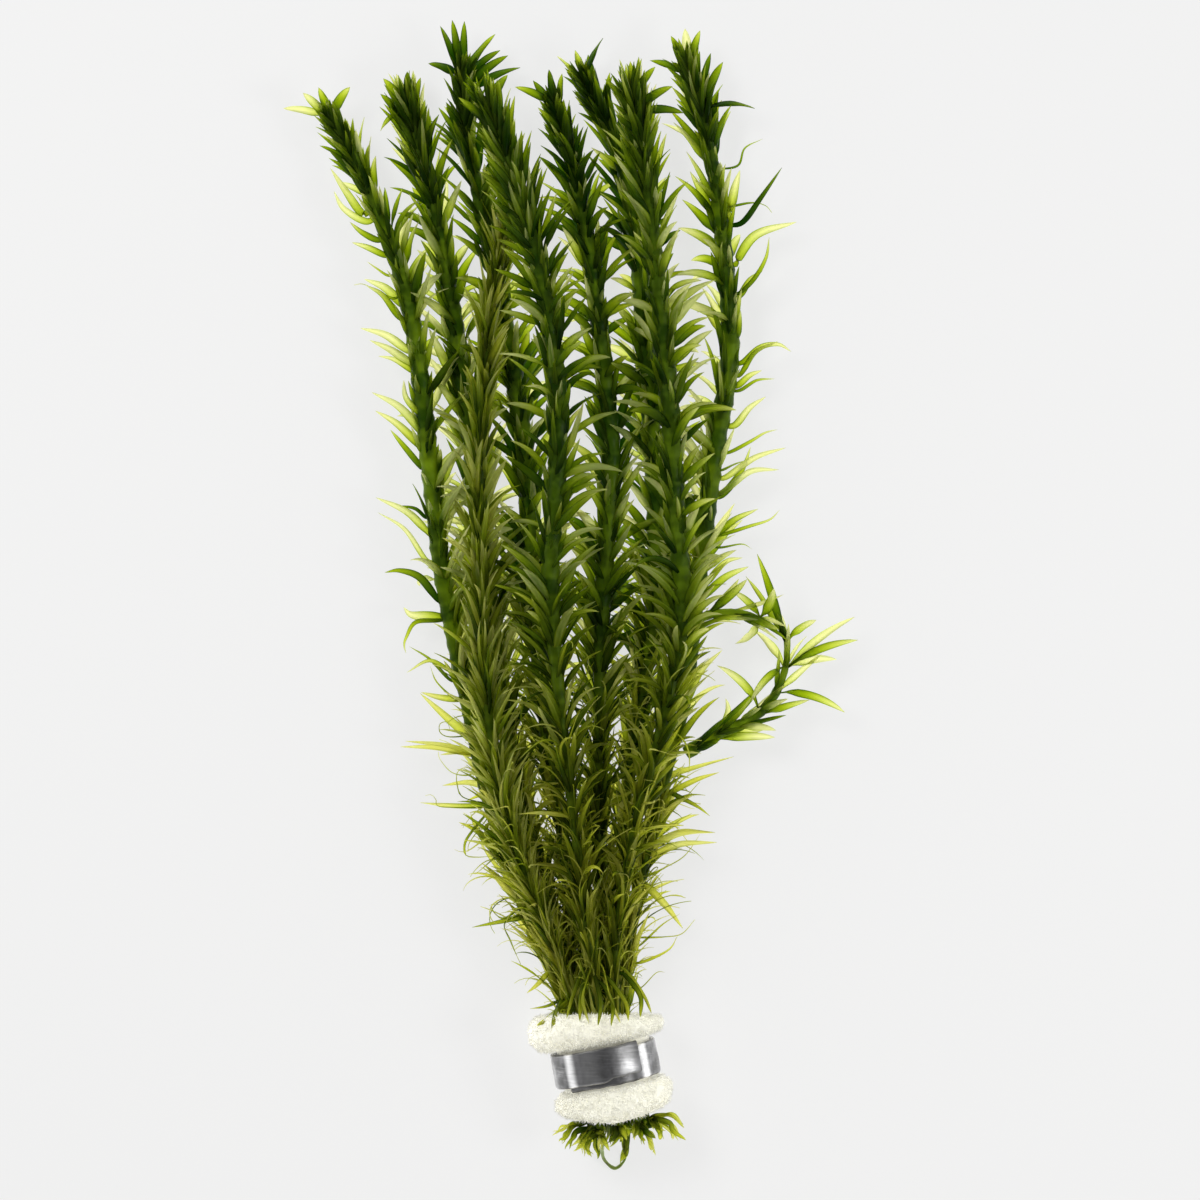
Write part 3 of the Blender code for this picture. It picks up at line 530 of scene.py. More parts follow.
class Neighbours:
    """The other shoots that a leaf must not pass through."""

    def __init__(self):
        self.points, self.radii, self.owners = [], [], []
        for name, spec in {**STEMS, **SIDE_SHOOTS}.items():
            route = route_of(spec)
            for distance in np.arange(0.0, route.length, 1.2):
                self.points.append(route.at(distance)[0])
                self.radii.append(radius_at(distance, spec))
                self.owners.append(name)
        self.points, self.radii, self.owners = map(np.array, (self.points, self.radii, self.owners))

    def misses(self, line, owner):
        """True if the leaf's line keeps clear of every other shoot and stays in the frame's box."""
        if (line < BOX_LOW + (0.4, 0.4, -9.0)).any() or (line > BOX_HIGH - 0.4).any():
            return False
        near = (np.abs(self.points - line[0]).max(axis=1) < 22) & (self.owners != owner)
        apart = np.linalg.norm(line[2:, None] - self.points[None, near], axis=2)
        return not (apart < self.radii[near] + STEM_CLEARANCE).any()


def put(name, data):
    """A new object in the scene."""
    obj = bpy.data.objects.new(name, data)
    bpy.context.scene.collection.objects.link(obj)
    return obj


class Growth:
    """A mesh under construction: its points in millimetres, its faces with the material that each has, and
    each point's growth values, which are along, across, tone and age."""

    def __init__(self):
        self.points, self.values, self.faces, self.finishes = [], [], [], []
        self.count = 0

    def add(self, points, values, faces, finish):
        """Adds points with their growth values, and faces that number the points of the whole mesh."""
        self.points.append(points.reshape(-1, 3))
        self.values.append(values.reshape(-1, 4))
        self.count += len(self.points[-1])
        self.faces += faces
        self.finishes += [finish] * len(faces)

    def add_rings(self, rings, values, finish):
        """Joins rings of points, which turn clockwise seen from the first ring, into a closed body."""
        stations, around = rings.shape[:2]
        index = self.count + np.arange(stations * around).reshape(stations, around)
        after = np.roll(index, -1, axis=1)
        sides = np.stack([index[:-1], after[:-1], after[1:], index[1:]], axis=-1).reshape(-1, 4)
        self.add(rings, values, sides.tolist() + [index[0, ::-1].tolist(), index[-1].tolist()], finish)

    def build(self, name, materials):
        """The mesh as an object in the scene, with its growth values as a colour attribute."""
        mesh = bpy.data.meshes.new(name)
        mesh.from_pydata((np.concatenate(self.points) * MM).tolist(), [], self.faces)
        for material in materials:
            mesh.materials.append(material)
        mesh.polygons.foreach_set("material_index", self.finishes)
        mesh.shade_smooth()
        growth = mesh.color_attributes.new("growth", "FLOAT_COLOR", "POINT")
        growth.data.foreach_set("color", np.concatenate(self.values).ravel())
        mesh.update()
        return put(name, mesh)


def curled_line(place, angle, radius, leaf, ease=1.0):
    """The centre line of a leaf that leaves its stem at an angle round it and curls outwards."""
    point, onwards, side, over = place
    start = point + (side * math.cos(angle) + over * math.sin(angle)) * radius * 0.8
    sideways = math.copysign(max(LEAST_SIDEWAYS, abs(math.cos(angle))), math.cos(angle))
    out = unit(side * sideways + over * math.sin(angle) * leaf["rise"])
    across = np.cross(out, onwards)
    share = np.linspace(0, 1, LEAF_STATIONS)
    lean = (leaf["lean"] + leaf["curl"] * share ** leaf["late"]) * ease
    sway = leaf["sway"] * share**1.5
    heading = np.outer(np.cos(lean), onwards) + np.outer(np.sin(lean), out)
    heading = heading * np.cos(sway)[:, None] + np.outer(np.sin(sway), across)
    steps = (heading[1:] + heading[:-1]) / 2 * leaf["length"] / (LEAF_STATIONS - 1)
    return start + np.concatenate([[np.zeros(3)], np.cumsum(steps, axis=0)]), across


def reaching_line(place, tip, radius):
    """The centre line of a leaf from its stem to a given tip, bent the way that crown leaves are."""
    point, onwards, side, _ = place
    straight = tip - point
    flat = straight - onwards * straight.dot(onwards)
    out = unit(flat + side * 0.01)
    start = point + out * radius * 0.7
    straight = tip - start
    reach = float(np.linalg.norm(straight))
    bend = start + unit(unit(straight) + onwards * 0.45) * reach * 0.5
    share = np.linspace(0, 1, LEAF_STATIONS)[:, None]
    line = start * (1 - share) ** 2 + bend * (2 * share * (1 - share)) + tip * share**2
    return line, np.cross(out, onwards)


def placed_line(route, path, chance):
    """Where a placed leaf leaves its stem, as a distance from the tip, and its centre line from there
    through its points, on an even slope where they have no height."""
    foot = np.array(path[0][:2], float)
    stop = route.stops[int(np.argmin(np.linalg.norm(route.points[:, :2] - foot, axis=1)))]
    point = route.at(float(stop))[0]
    start = point + np.append(unit(foot - point[:2] + 0.01), 0.0) * 0.4
    heights = point[2] + np.linspace(0, chance.uniform(-2.0, 3.0), len(path) + 1)
    line = through([start, *([*p, z][:3] for p, z in zip(path, heights[1:]))], 0.3)
    along = np.concatenate([[0.0], np.cumsum(np.linalg.norm(np.diff(line, axis=0), axis=1))])
    stops = np.linspace(0, along[-1], PLACED_STATIONS)
    line = np.stack([np.interp(stops, along, line[:, i]) for i in range(3)], axis=1)
    return float(stop), line, np.cross(line[1] - line[0], UP)


def squeezed(line):
    """The line, held within the hole of the foam where it passes through it."""
    along = base_point(1.0) - base_point(0.0)
    distance = (line - BAND_CENTRE) @ along
    axis = BAND_CENTRE + distance[:, None] * along
    radius = np.linalg.norm(line - axis, axis=1)
    room = FOAM_HOLE + np.maximum(0.0, distance - FOAM_TOP) * 1.2
    return axis + (line - axis) * np.minimum(1.0, room / np.maximum(radius, 0.01))[:, None]


def squared(wide, heading):
    """The directions across a line, made square to its heading."""
    return unit(wide - heading * (heading * wide).sum(axis=1)[:, None])


def blade_width(share, blunt):
    """How a leaf's width runs along it: widest near the middle, with a tip that is more or less blunt."""
    base = 0.5 + 0.5 * np.sin(np.clip(share / 0.42, 0, 1) * math.pi / 2)
    return base * np.clip(1 - share**blunt, 0, 1) ** 0.9 + 0.03


def add_leaf(growth, line, across, leaf, chance):
    """A leaf: a thin, keeled and slightly rippled blade along its centre line, laid on the floor if low."""
    share = np.linspace(0, 1, len(line))
    half = leaf["width"] / 2 * blade_width(share, leaf["blunt"])
    line = line.copy()
    heading = unit(np.gradient(line, axis=0))
    wide = unit(across - heading * (heading @ across)[:, None])
    level = np.cross(heading, UP)
    level = level if level[len(line) // 2] @ wide[0] > 0 else -level
    flat = (leaf["flat"] * np.clip(share / FLAT_BY, 0, 1))[:, None]
    wide = unit(wide * (1 - flat) + level * flat)
    wide = squared(wide, heading)
    normal = np.cross(wide, heading)
    turn = leaf["twist"] * share
    wide = wide * np.cos(turn)[:, None] + normal * np.sin(turn)[:, None]
    wide[:, 2] *= np.clip(line[:, 2] / 4.0, 0.12, 1.0)
    rest = RESTS_AT + np.abs(wide[:, 2]) * half
    line[:, 2] = rest + np.logaddexp(0, (line[:, 2] - rest) * REST_BEND) / REST_BEND
    heading = unit(np.gradient(line, axis=0))
    wide = squared(wide, heading)
    normal = np.cross(wide, heading)
    thick = leaf["thickness"] / 2 * (0.45 + 0.55 * (1 - share**3))
    ripple = 0.10 * np.sin(share * chance.uniform(9, 16) + chance.uniform(0, 6))
    fold = leaf["fold"] * (1 - 0.6 * share)
    rings, values = [], []
    for x, z in LEAF_SECTION:
        lift = half * (fold * abs(x) ** 1.6 + ripple * x * abs(x)) + thick * z
        rings.append(line + wide * (half * x)[:, None] + normal * lift[:, None])
        tone = np.full(len(line), leaf["tone"])
        age = np.full(len(line), leaf["age"])
        values.append(np.stack([share, np.full(len(line), abs(x)), tone, age], axis=-1))
    rings = np.stack(rings, axis=1)
    rings[:, :, 2] = np.maximum(rings[:, :, 2], LEAST_HEIGHT)
    growth.add_rings(rings, np.stack(values, axis=1), 0)


def growth_stage(distance, spec):
    """The distance from the tip at which a plain shoot looks as this one does, with its longer brush."""
    brush = max(spec["brush"], PLAIN_BRUSH)
    return distance * PLAIN_BRUSH / brush if distance < brush else distance


def leaf_traits(distance, spec, settings, chance, openness=1.0, calm=1.0):
    """What one leaf is like, by its distance from the shoot's tip, how open its whorl is and how freely the
    wrap lets it stand. Sizes are in millimetres and angles in radians."""
    stage = growth_stage(distance, spec)
    age = age_at(distance)
    wild = 0.45 + 0.9 * age
    wiry = chance.random() < WIRY * age
    if "olive" in spec:
        age = max(age, OLIVE_LEAF_AGE)
    curl = mix(HABIT, stage, 5) * chance.uniform(0.5, 1.5) * openness + wild * chance.gauss(0, 20)
    lean = mix(HABIT, stage, 4) * chance.uniform(0.5, 1.5)
    if stage < PLAIN_BRUSH:
        lean *= spec.get("spread", 1.0)
    if chance.random() < ASTRAY * age:
        lean += chance.uniform(10, 55)
    strand = (STRAND_LEAN if "strands" in spec else 1.0) * calm
    bushy = 1 - (1 - spec.get("bushy", 1.0)) * max(0.0, 1 - distance / BUSHY_TO)
    return {
        "length": mix(HABIT, stage, 2) * settings.leaf_length / FULL_LENGTH * chance.uniform(0.68, 1.14)
        * bushy,
        "width": mix(HABIT, stage, 3) * settings.leaf_width / FULL_WIDTH * (
            WIRY_WIDTH if wiry else chance.uniform(0.65, 1.2) * (STRAND_WIDTH if "strands" in spec else 1.0)
        ),
        "blunt": chance.uniform(2.0, 3.6) - 0.5 * age,
        "thickness": settings.leaf_thickness / MM,
        "lean": math.radians(lean) * strand,
        "curl": math.radians(curl) * (WIRY_CURL if wiry else strand),
        "late": chance.uniform(0.5, 1.3) + age * chance.random(),
        "sway": wild * calm * chance.gauss(0, 1.4 if wiry else 0.6),
        "twist": wild * chance.gauss(0, 0.8),
        "rise": 0.4 + 0.5 * age,
        "flat": 1.0 - (0.5 + 0.4 * age) * chance.random(),
        "fold": chance.uniform(0.1, 0.4),
        "tone": float(np.clip(
            mix(LEAF_TONE, distance, 1) * spec.get("paling", 1.0) * (1 - spec["tone"]) + spec["tone"]
            + chance.gauss(0, 0.28 + 0.12 * age) - 0.05, 0, 1)),
        "age": float(np.clip(age + chance.gauss(0, 0.12), 0, 1)),
    }


def whorl_stops(route, spec):
    """The distances of a shoot's whorls from its tip."""
    last = route.length + CUT_END - FIRST_LEAVES if "slot" in spec else route.length - 1.5
    stops, distance = [], 0.6
    crowding = STRAND_GAP if "strands" in spec else 1.0
    while distance < last:
        stops.append(distance)
        gap = mix(HABIT, growth_stage(distance, spec), 1) if "slot" in spec else SHOOT_WHORL_GAP
        distance += max(0.8, gap * crowding)
    return stops


def whorl_count(distance, spec, chance):
    """How many leaves a whorl has: more on the low stems where the bunch is thick."""
    if "slot" not in spec:
        return SHOOT_WHORL
    more = THICKER if "low" in spec and distance > THICK_FROM else 0
    if distance > OLD_FROM:
        return OLD_WHORL + more
    stage = growth_stage(distance, spec)
    if stage < DENSE_TO:
        return DENSE_WHORL
    return BRUSH_WHORL if stage < PLAIN_BRUSH else chance.choice(OPEN_WHORL) + more


def add_stem(growth, route, spec, stops, chance):
    """The stem itself, a little swollen at each whorl, from its cut end to its bud."""
    count = int(route.length / STEM_STEP)
    turns = -np.linspace(0, math.tau, STEM_SIDES, endpoint=False)
    rings, values = [], []
    tones = [chance.uniform(0.0, 1.0) for _ in stops] + [0.5]
    for distance in np.linspace(route.length, -BUD_LENGTH, count):
        point, onwards, side, over = route.at(max(0.0, distance))
        point = point + onwards * max(0.0, -distance)
        nearest = int(np.argmin(np.abs(np.array(stops) - distance)))
        swelling = 1 + 0.16 * math.exp(-((distance - stops[nearest]) / 0.8) ** 2)
        radius = max(0.12, radius_at(max(0.0, distance), spec) * min(1.0, (distance + 1.3) / 1.5))
        radius *= swelling if distance > 6 else 1.0
        out = np.outer(np.cos(turns), side) + np.outer(np.sin(turns), over)
        rings.append(point + out * radius)
        band = math.exp(-((distance - stops[nearest]) / 0.5) ** 2)
        tone = spec["tone"] * 0.3 + 0.6 * tones[nearest]
        age = max(age_at(distance), OLIVE_STEM_AGE if "olive" in spec else 0.0)
        values.append([(distance / route.length, band, tone, age)] * STEM_SIDES)
    growth.add_rings(np.array(rings), np.array(values), 1)


def add_cut_scraps(growth, route, spec, settings, chance):
    """Small leaf ends round a stem's cut end, bent back over it."""
    place = route.at(route.length - 2.2)
    for _ in range(CUT_SCRAPS):
        leaf = leaf_traits(route.length, spec, settings, chance)
        leaf.update(
            length=chance.uniform(1.5, 5.0), width=chance.uniform(0.6, 1.6), age=chance.uniform(0.6, 1.0),
            lean=math.radians(chance.uniform(120, 172)), curl=chance.gauss(0, 0.6),
            tone=chance.uniform(0.0, 0.8),
        )
        angle = math.radians(spec["slot"] or 0) + chance.gauss(0, 1.1)
        line, across = curled_line(place, angle, radius_at(route.length, spec), leaf)
        add_leaf(growth, kept_in(line, BOX_MARGIN), across, leaf, chance)


def add_crushed(growth, route, spec, settings):
    """The crushed leaves that fill the foam's hole, turned inwards from their stem."""
    chance = random.Random(f"crushed {spec['slot']}")
    spread = 3.0 if spec["slot"] is None else 0.9
    for _ in range(CRUSHED):
        distance = route.length - chance.uniform(5.0, 13.0)
        leaf = leaf_traits(distance, spec, settings, chance)
        leaf.update(
            length=chance.uniform(3.0, 6.0), width=chance.uniform(1.0, 2.2), age=chance.uniform(0.6, 1.0),
            lean=math.radians(chance.uniform(20, 70)), curl=chance.gauss(0, 0.5),
            tone=chance.uniform(0.0, 0.5),
        )
        angle = math.radians(spec["slot"] or 0) + math.pi + chance.gauss(0, spread)
        line, across = curled_line(route.at(distance), angle, radius_at(distance, spec), leaf)
        add_leaf(growth, line, across, leaf, chance)


def torn_shift(count, chance):
    """Small uneven shifts along a torn leaf, none at its foot."""
    share = np.linspace(0, 1, count)[:, None]
    size, pace, start = (
        np.array([chance.uniform(*span) for _ in range(3)]) for span in ((-0.9, 0.9), (3, 12), (0, 6))
    )
    return share * size * np.sin(share * pace + start)


def add_placed(growth, route, spec, rows, settings, chance, torn=False):
    """The placed leaves of a table's rows, or the strips that torn ones are drawn as."""
    for width, tone, *path in [row for row in rows for _ in range(TORN_STRIPS if torn else 1)]:
        stop, line, across = placed_line(route, path, chance)
        leaf = leaf_traits(stop, spec, settings, chance)
        leaf.update(width=width, tone=tone, twist=leaf["twist"] * 0.4, flat=1.0)
        if width < THREAD_WIDTH:
            leaf.update(fold=0.0, flat=0.0, twist=chance.gauss(0, 2))
        if len(path[-1]) == 3:
            leaf.update(blunt=9.0)
        if torn:
            leaf.update(
                tone=tone + chance.uniform(-0.3, 0.4), age=0.9, blunt=chance.uniform(2, 9),
                width=width * chance.uniform(0.25, 0.7),
            )
            line = line + torn_shift(len(line), chance)
        add_leaf(growth, line, across, leaf, chance)


def add_crown(growth, route, spec, stops, settings, chance):
    """The topmost leaves, each from the whorl at its own length from its tip."""
    for tip in spec["crown"]:
        tip = np.array(tip, float)
        gaps = [abs(np.linalg.norm(tip - route.at(d)[0]) - min(mix(HABIT, d, 2), 11.5)) for d in stops]
        nearest = float(stops[int(np.argmin(gaps))])
        leaf = leaf_traits(max(nearest, 12.0), spec, settings, chance)
        leaf.update(sway=0.0, twist=chance.gauss(0, 0.3), width=chance.uniform(1.6, 2.1), blunt=4.5)
        line, across = reaching_line(route.at(nearest), tip, radius_at(nearest, spec))
        add_leaf(growth, line, across, leaf, chance)


def add_hugging(growth, route, distance, spec, settings, chance):
    """The further leaves of a whorl that lie close along the top of their stem."""
    for _ in range(HUGGING if DENSE_TO < distance < OLD_FROM else 0):
        leaf = leaf_traits(distance, spec, settings, chance)
        leaf.update(
            length=leaf["length"] * chance.uniform(0.5, 0.9), width=chance.uniform(1.0, 1.8),
            lean=math.radians(chance.uniform(3, 13)), curl=math.radians(chance.uniform(-4, 14)),
            tone=chance.uniform(0.0, 1.0),
        )
        angle = chance.uniform(0.5, 2.6)
        line, across = curled_line(route.at(distance), angle, radius_at(distance, spec), leaf)
        add_leaf(growth, line, across, leaf, chance)


def add_whorl(growth, route, distance, name, spec, turn, neighbours, settings, chance):
    """Adds one whorl, whose leaves stand round the stem and miss other stems, and returns its turn."""
    count = whorl_count(distance, spec, chance)
    openness = chance.uniform(0.55, 1.45)
    calm = 1.0
    if "slot" in spec:
        calm = float(np.clip((route.length - distance - HELD_TO) / HELD_OVER, 0.3, 1))
    turn += WHORL_TURN + chance.gauss(0, 0.08)
    place, radius = route.at(distance), radius_at(distance, spec)
    bare_left, bare_right = (chance.random() < BARE_FLANK for _ in range(2))
    add_hugging(growth, route, distance, spec, settings, chance)
    for slot in range(count):
        leaf = leaf_traits(distance, spec, settings, chance, openness, calm)
        angle = turn + slot * math.tau / count + chance.gauss(0, 0.32)
        over_top = math.sin(angle) > OVER_TOP
        if STRAYS_FROM < distance < STRAYS_TO and math.cos(angle) * spec.get("outside", 0) > OUTSIDE:
            continue
        if DENSE_TO < growth_stage(distance, spec) and distance < OLD_FROM:
            if chance.random() < (BARE_TOP if over_top else BARE_SIDE):
                continue
            if not over_top and (bare_right if math.cos(angle) > 0 else bare_left):
                continue
            if over_top and chance.random() < FLAT_TOP:
                leaf.update(
                    lean=leaf["lean"] * 0.35, curl=leaf["curl"] * 0.4, width=leaf["width"] * 0.8,
                    tone=leaf["tone"] * chance.uniform(0.0, 0.9),
                )
        elif over_top and distance >= OLD_FROM and chance.random() < OLD_BARE_TOP:
            continue
        for ease, shift in EASES:
            line, across = curled_line(place, angle + math.radians(shift), radius, leaf, ease)
            if neighbours.misses(line, name):
                break
        add_leaf(growth, kept_in(squeezed(line), BOX_MARGIN), across, leaf, chance)
    return turn


def grow_shoot(name, spec, neighbours, settings):
    """One shoot as a single mesh: its stem, its crown, its whorls of leaves, and its torn lower end."""
    chance = random.Random(name)
    growth, route = Growth(), route_of(spec)
    stops = whorl_stops(route, spec)
    add_stem(growth, route, spec, stops, chance)
    add_crown(growth, route, spec, stops, settings, chance)
    add_placed(growth, route, spec, STRAYS.get(name, ()), settings, chance)
    add_placed(growth, route, spec, SCRAPS.get(name, ()), settings, chance, torn=True)
    turn = chance.uniform(0, 6)
    for distance in stops:
        turn = add_whorl(growth, route, distance, name, spec, turn, neighbours, settings, chance)
    if "slot" in spec:
        add_cut_scraps(growth, route, spec, settings, chance)
        add_crushed(growth, route, spec, settings)
    return growth


class NodeKit:
    """Short calls for building the nodes of a material or a world."""

    def __init__(self, owner):
        owner.use_nodes = True
        self.owner, self.tree = owner, owner.node_tree

    def feed(self, socket, value):
        """Gives an input a number, a colour of three parts or another node's output."""
        if isinstance(value, bpy.types.NodeSocket):
            self.tree.links.new(value, socket)
        elif socket.type == "RGBA":
            socket.default_value = (*value[:3], 1.0)
        else:
            socket.default_value = value

    def add(self, kind, settings=None, **inputs):
        """A node of a kind with its settings and its inputs."""
        node = self.tree.nodes.new(kind)
        for key, value in (settings or {}).items():
            setattr(node, key, value)
        for key, value in inputs.items():
            self.feed(node.inputs[key], value)
        return node

    def shade(self, inputs, shader="Principled BSDF"):
        """Gives the main shader its inputs."""
        for key, value in inputs.items():
            self.feed(self.tree.nodes[shader].inputs[key], value)

    def sum(self, operation, first, second, clamp=False):
        """A sum of two numbers."""
        node = self.add("ShaderNodeMath", {"operation": operation, "use_clamp": clamp})
        self.feed(node.inputs[0], first)
        self.feed(node.inputs[1], second)
        return node.outputs[0]

    def times(self, first, second):
        """One number times another."""
        return self.sum("MULTIPLY", first, second)

    def ramp(self, value, low, high, first=0.0, last=1.0):
        """A number moved smoothly from one range to another and held there."""
        ends = {"From Min": low, "From Max": high, "To Min": first, "To Max": last}
        node = self.add("ShaderNodeMapRange", {"interpolation_type": "SMOOTHSTEP"}, Value=value, **ends)
        return node.outputs[0]

    def blend(self, share, first, second, kind="MIX"):
        """A mix of two colours."""
        node = self.add("ShaderNodeMix", {"data_type": "RGBA", "blend_type": kind})
        sockets = {(socket.name, socket.type): socket for socket in node.inputs}
        self.feed(sockets["Factor", "VALUE"], share)
        self.feed(sockets["A", "RGBA"], first)
        self.feed(sockets["B", "RGBA"], second)
        return next(socket for socket in node.outputs if socket.type == "RGBA")

    def noise(self, where, scale, detail=3.0, roughness=0.55):
        """A noise's value at a place."""
        node = self.add("ShaderNodeTexNoise", Vector=where, Scale=scale, Detail=detail, Roughness=roughness)
        return node.outputs["Fac"]

    def place(self, kind="Object"):
        """The place on the object in its own coordinates, or the direction in a world's."""
        return self.add("ShaderNodeTexCoord").outputs[kind]

    def bump(self, height, strength, distance):
        """A bump from a height, into the main shader."""
        node = self.add("ShaderNodeBump", Height=height, Strength=strength, Distance=distance)
        self.shade({"Normal": node.outputs["Normal"]})
        return node.outputs["Normal"]

    def growth(self):
        """The mesh's growth values: along, across, tone and age."""
        values = self.add("ShaderNodeAttribute", {"attribute_name": "growth"})
        split = self.add("ShaderNodeSeparateColor", Color=values.outputs["Color"])
        return *split.outputs, values.outputs["Alpha"]

    def let_light_through(self, glow, normal, share):
        """Mixes in a shader for the light that comes through from behind."""
        behind = self.add("ShaderNodeBsdfTranslucent", Color=glow, Normal=normal)
        mixed = self.add("ShaderNodeMixShader", Fac=share)
        self.feed(mixed.inputs[1], self.tree.nodes["Principled BSDF"].outputs[0])
        self.feed(mixed.inputs[2], behind.outputs[0])
        self.feed(self.tree.nodes["Material Output"].inputs["Surface"], mixed.outputs[0])


def leaf_material(settings):
    """Wet, thin leaves: deep green when young and dark, yellow-green at their edges, olive when old."""
    kit = NodeKit(bpy.data.materials.new("waterweed_leaf"))
    along, across, tone, age = kit.growth()
    where = kit.place()
    patches = kit.noise(where, 220.0, 1.0)
    streaks = kit.noise(where, 1400.0, 1.0)
    fresh = kit.blend(tone, settings.dark_green, settings.bright_green)
    fresh = kit.blend(kit.ramp(patches, 0.35, 0.7, 0.0, 0.35), fresh, settings.edge_green)
    rim = kit.times(kit.ramp(across, 0.45, 1.0, 0.0, 0.3), kit.ramp(along, 0.0, 0.5, 0.2, 1.0))
    fresh = kit.blend(rim, fresh, settings.edge_green)
    aged = kit.times(age, kit.ramp(patches, 0.25, 0.6, 0.55, 1.0))
    colour = kit.blend(aged, fresh, settings.old_green)
    brown = kit.times(kit.ramp(age, 0.55, 1.0, 0.0, 0.5), kit.ramp(streaks, 0.5, 0.72))
    colour = kit.blend(brown, colour, settings.brown)
    # Darker along the middle rib, and painted shade towards the leaf's base by the stem
    rib_and_base_shade = kit.times(kit.ramp(across, 0.0, 0.3, 0.78, 1.0), kit.ramp(along, 0.0, 0.35, 0.45, 1.0))
    shadow = kit.add("ShaderNodeCombineColor", Red=rib_and_base_shade, Green=rib_and_base_shade, Blue=rib_and_base_shade).outputs[0]
    kit.shade({
        "Base Color": kit.blend(1.0, colour, shadow, "MULTIPLY"),
        "Roughness": kit.ramp(patches, 0.3, 0.7, settings.roughness, settings.roughness + 0.2),
        "Specular IOR Level": 0.1,
    })
    normal = kit.bump(kit.sum("ADD", streaks, kit.times(patches, 1.5)), 0.4, 0.0002)
    # Light through a leaf is paler towards its tip; its darker glow towards the base is partly painted
    # shade by the stem
    paler = kit.sum("ADD", kit.times(tone, 0.7), kit.times(along, 0.55))
    paler = kit.sum("SUBTRACT", paler, kit.ramp(across, 0.6, 1.0, 0.05, 0.3), clamp=True)
    glow = kit.blend(kit.ramp(paler, 0.08, 0.8), settings.deep_glow, settings.mid_glow)
    glow = kit.blend(kit.ramp(paler, 0.55, 0.95), glow, settings.glow)
    glow = kit.blend(kit.times(aged, kit.ramp(paler, 0.0, 0.6, 0.0, 0.7)), glow, settings.old_glow)
    kit.let_light_through(glow, normal, settings.translucency)
    return kit.owner


STEM_TRANSLUCENCY = 0.5


def stem_material(settings):
    """Stems: smooth green, paler between the whorls and darker at them, mottled, with fine streaks."""
    kit = NodeKit(bpy.data.materials.new("waterweed_stem"))
    _, band, tone, age = kit.growth()
    where = kit.place()
    streaks = kit.noise(where, 600.0, 1.0)
    pale = kit.blend(tone, settings.dark_green, settings.stem_green)
    colour = kit.blend(kit.times(age, 0.7), pale, settings.old_green)
    colour = kit.blend(kit.times(band, 0.6), colour, settings.dark_green)
    mottle = kit.ramp(kit.noise(where, 330.0, 1.0), 0.42, 0.62)
    colour = kit.blend(kit.times(mottle, 0.45), colour, settings.dark_green)
    kit.shade({
        "Base Color": kit.blend(kit.ramp(streaks, 0.5, 0.75, 0.0, 0.3), colour, settings.edge_green),
        "Roughness": kit.ramp(streaks, 0.3, 0.7, 0.32, 0.55),
        "Specular IOR Level": 0.12,
    })
    normal = kit.bump(streaks, 0.2, 0.0002)
    kit.let_light_through(kit.blend(tone, settings.deep_glow, settings.mid_glow), normal, STEM_TRANSLUCENCY)
    return kit.owner


def root_material(settings):
    """The root thread: brownish olive, darker in patches."""
    kit = NodeKit(bpy.data.materials.new("waterweed_root"))
    patches = kit.noise(kit.place(), 500.0)
    pale = kit.blend(0.5, settings.old_green, settings.edge_green)
    kit.shade({
        "Base Color": kit.blend(kit.ramp(patches, 0.45, 0.75), pale, settings.brown),
        "Roughness": kit.ramp(patches, 0.3, 0.7, 0.35, 0.6),
    })
    kit.bump(patches, 0.3, 0.0002)
    return kit.owner


def foam_material(settings):
    """Open, spongy cream foam with faint damp stains, and painted shade in its small pores and beside the
    lead's edges. It scatters the light inside itself, which a little light of its own stands for."""
    kit = NodeKit(bpy.data.materials.new("cream_foam"))
    where = kit.place()
    pores = kit.add("ShaderNodeTexVoronoi", Vector=where, Scale=1 / settings.pore_size, Randomness=1.0)
    stains = kit.noise(where, 110.0)
    deep = kit.ramp(pores.outputs["Distance"], 0.1, 0.5, 1.0, 0.0)
    colour = kit.blend(kit.ramp(stains, 0.45, 0.75, 0.0, 0.5), settings.foam, settings.stain)
    # Painted shade inside the pores: their hollows are darkened a little
    colour = kit.blend(kit.times(deep, 0.03), colour, settings.pore)
    # Painted shade on top of the foam beside the lead's edges, broken up by the stains
    lead_shade_share = kit.times(kit.growth()[0], kit.ramp(stains, 0.3, 0.6, 0.3, 1.0))
    colour = kit.blend(kit.times(lead_shade_share, 0.75), colour, settings.shade_by_lead)
    kit.shade({
        "Base Color": colour, "Roughness": 0.95, "Specular IOR Level": 0.2,
        "Sheen Weight": 0.8, "Sheen Roughness": 0.5, "Emission Color": colour, "Emission Strength": 0.16,
    })
    kit.bump(kit.noise(where, 2600.0, 4.0, 0.65), 0.5, 0.0003)
    return kit.owner


# Painted highlights across the lead's width, standing for the bright sides of the room that it mirrors: the
# share of its length, half the width of the highlight, and how bright it is
LEAD_HIGHLIGHTS = (
    (0.829, 0.018, 1.0), (0.215, 0.021, 1.0), (0.88, 0.035, 0.22), (0.965, 0.04, 0.3), (0.16, 0.02, 0.2),
)


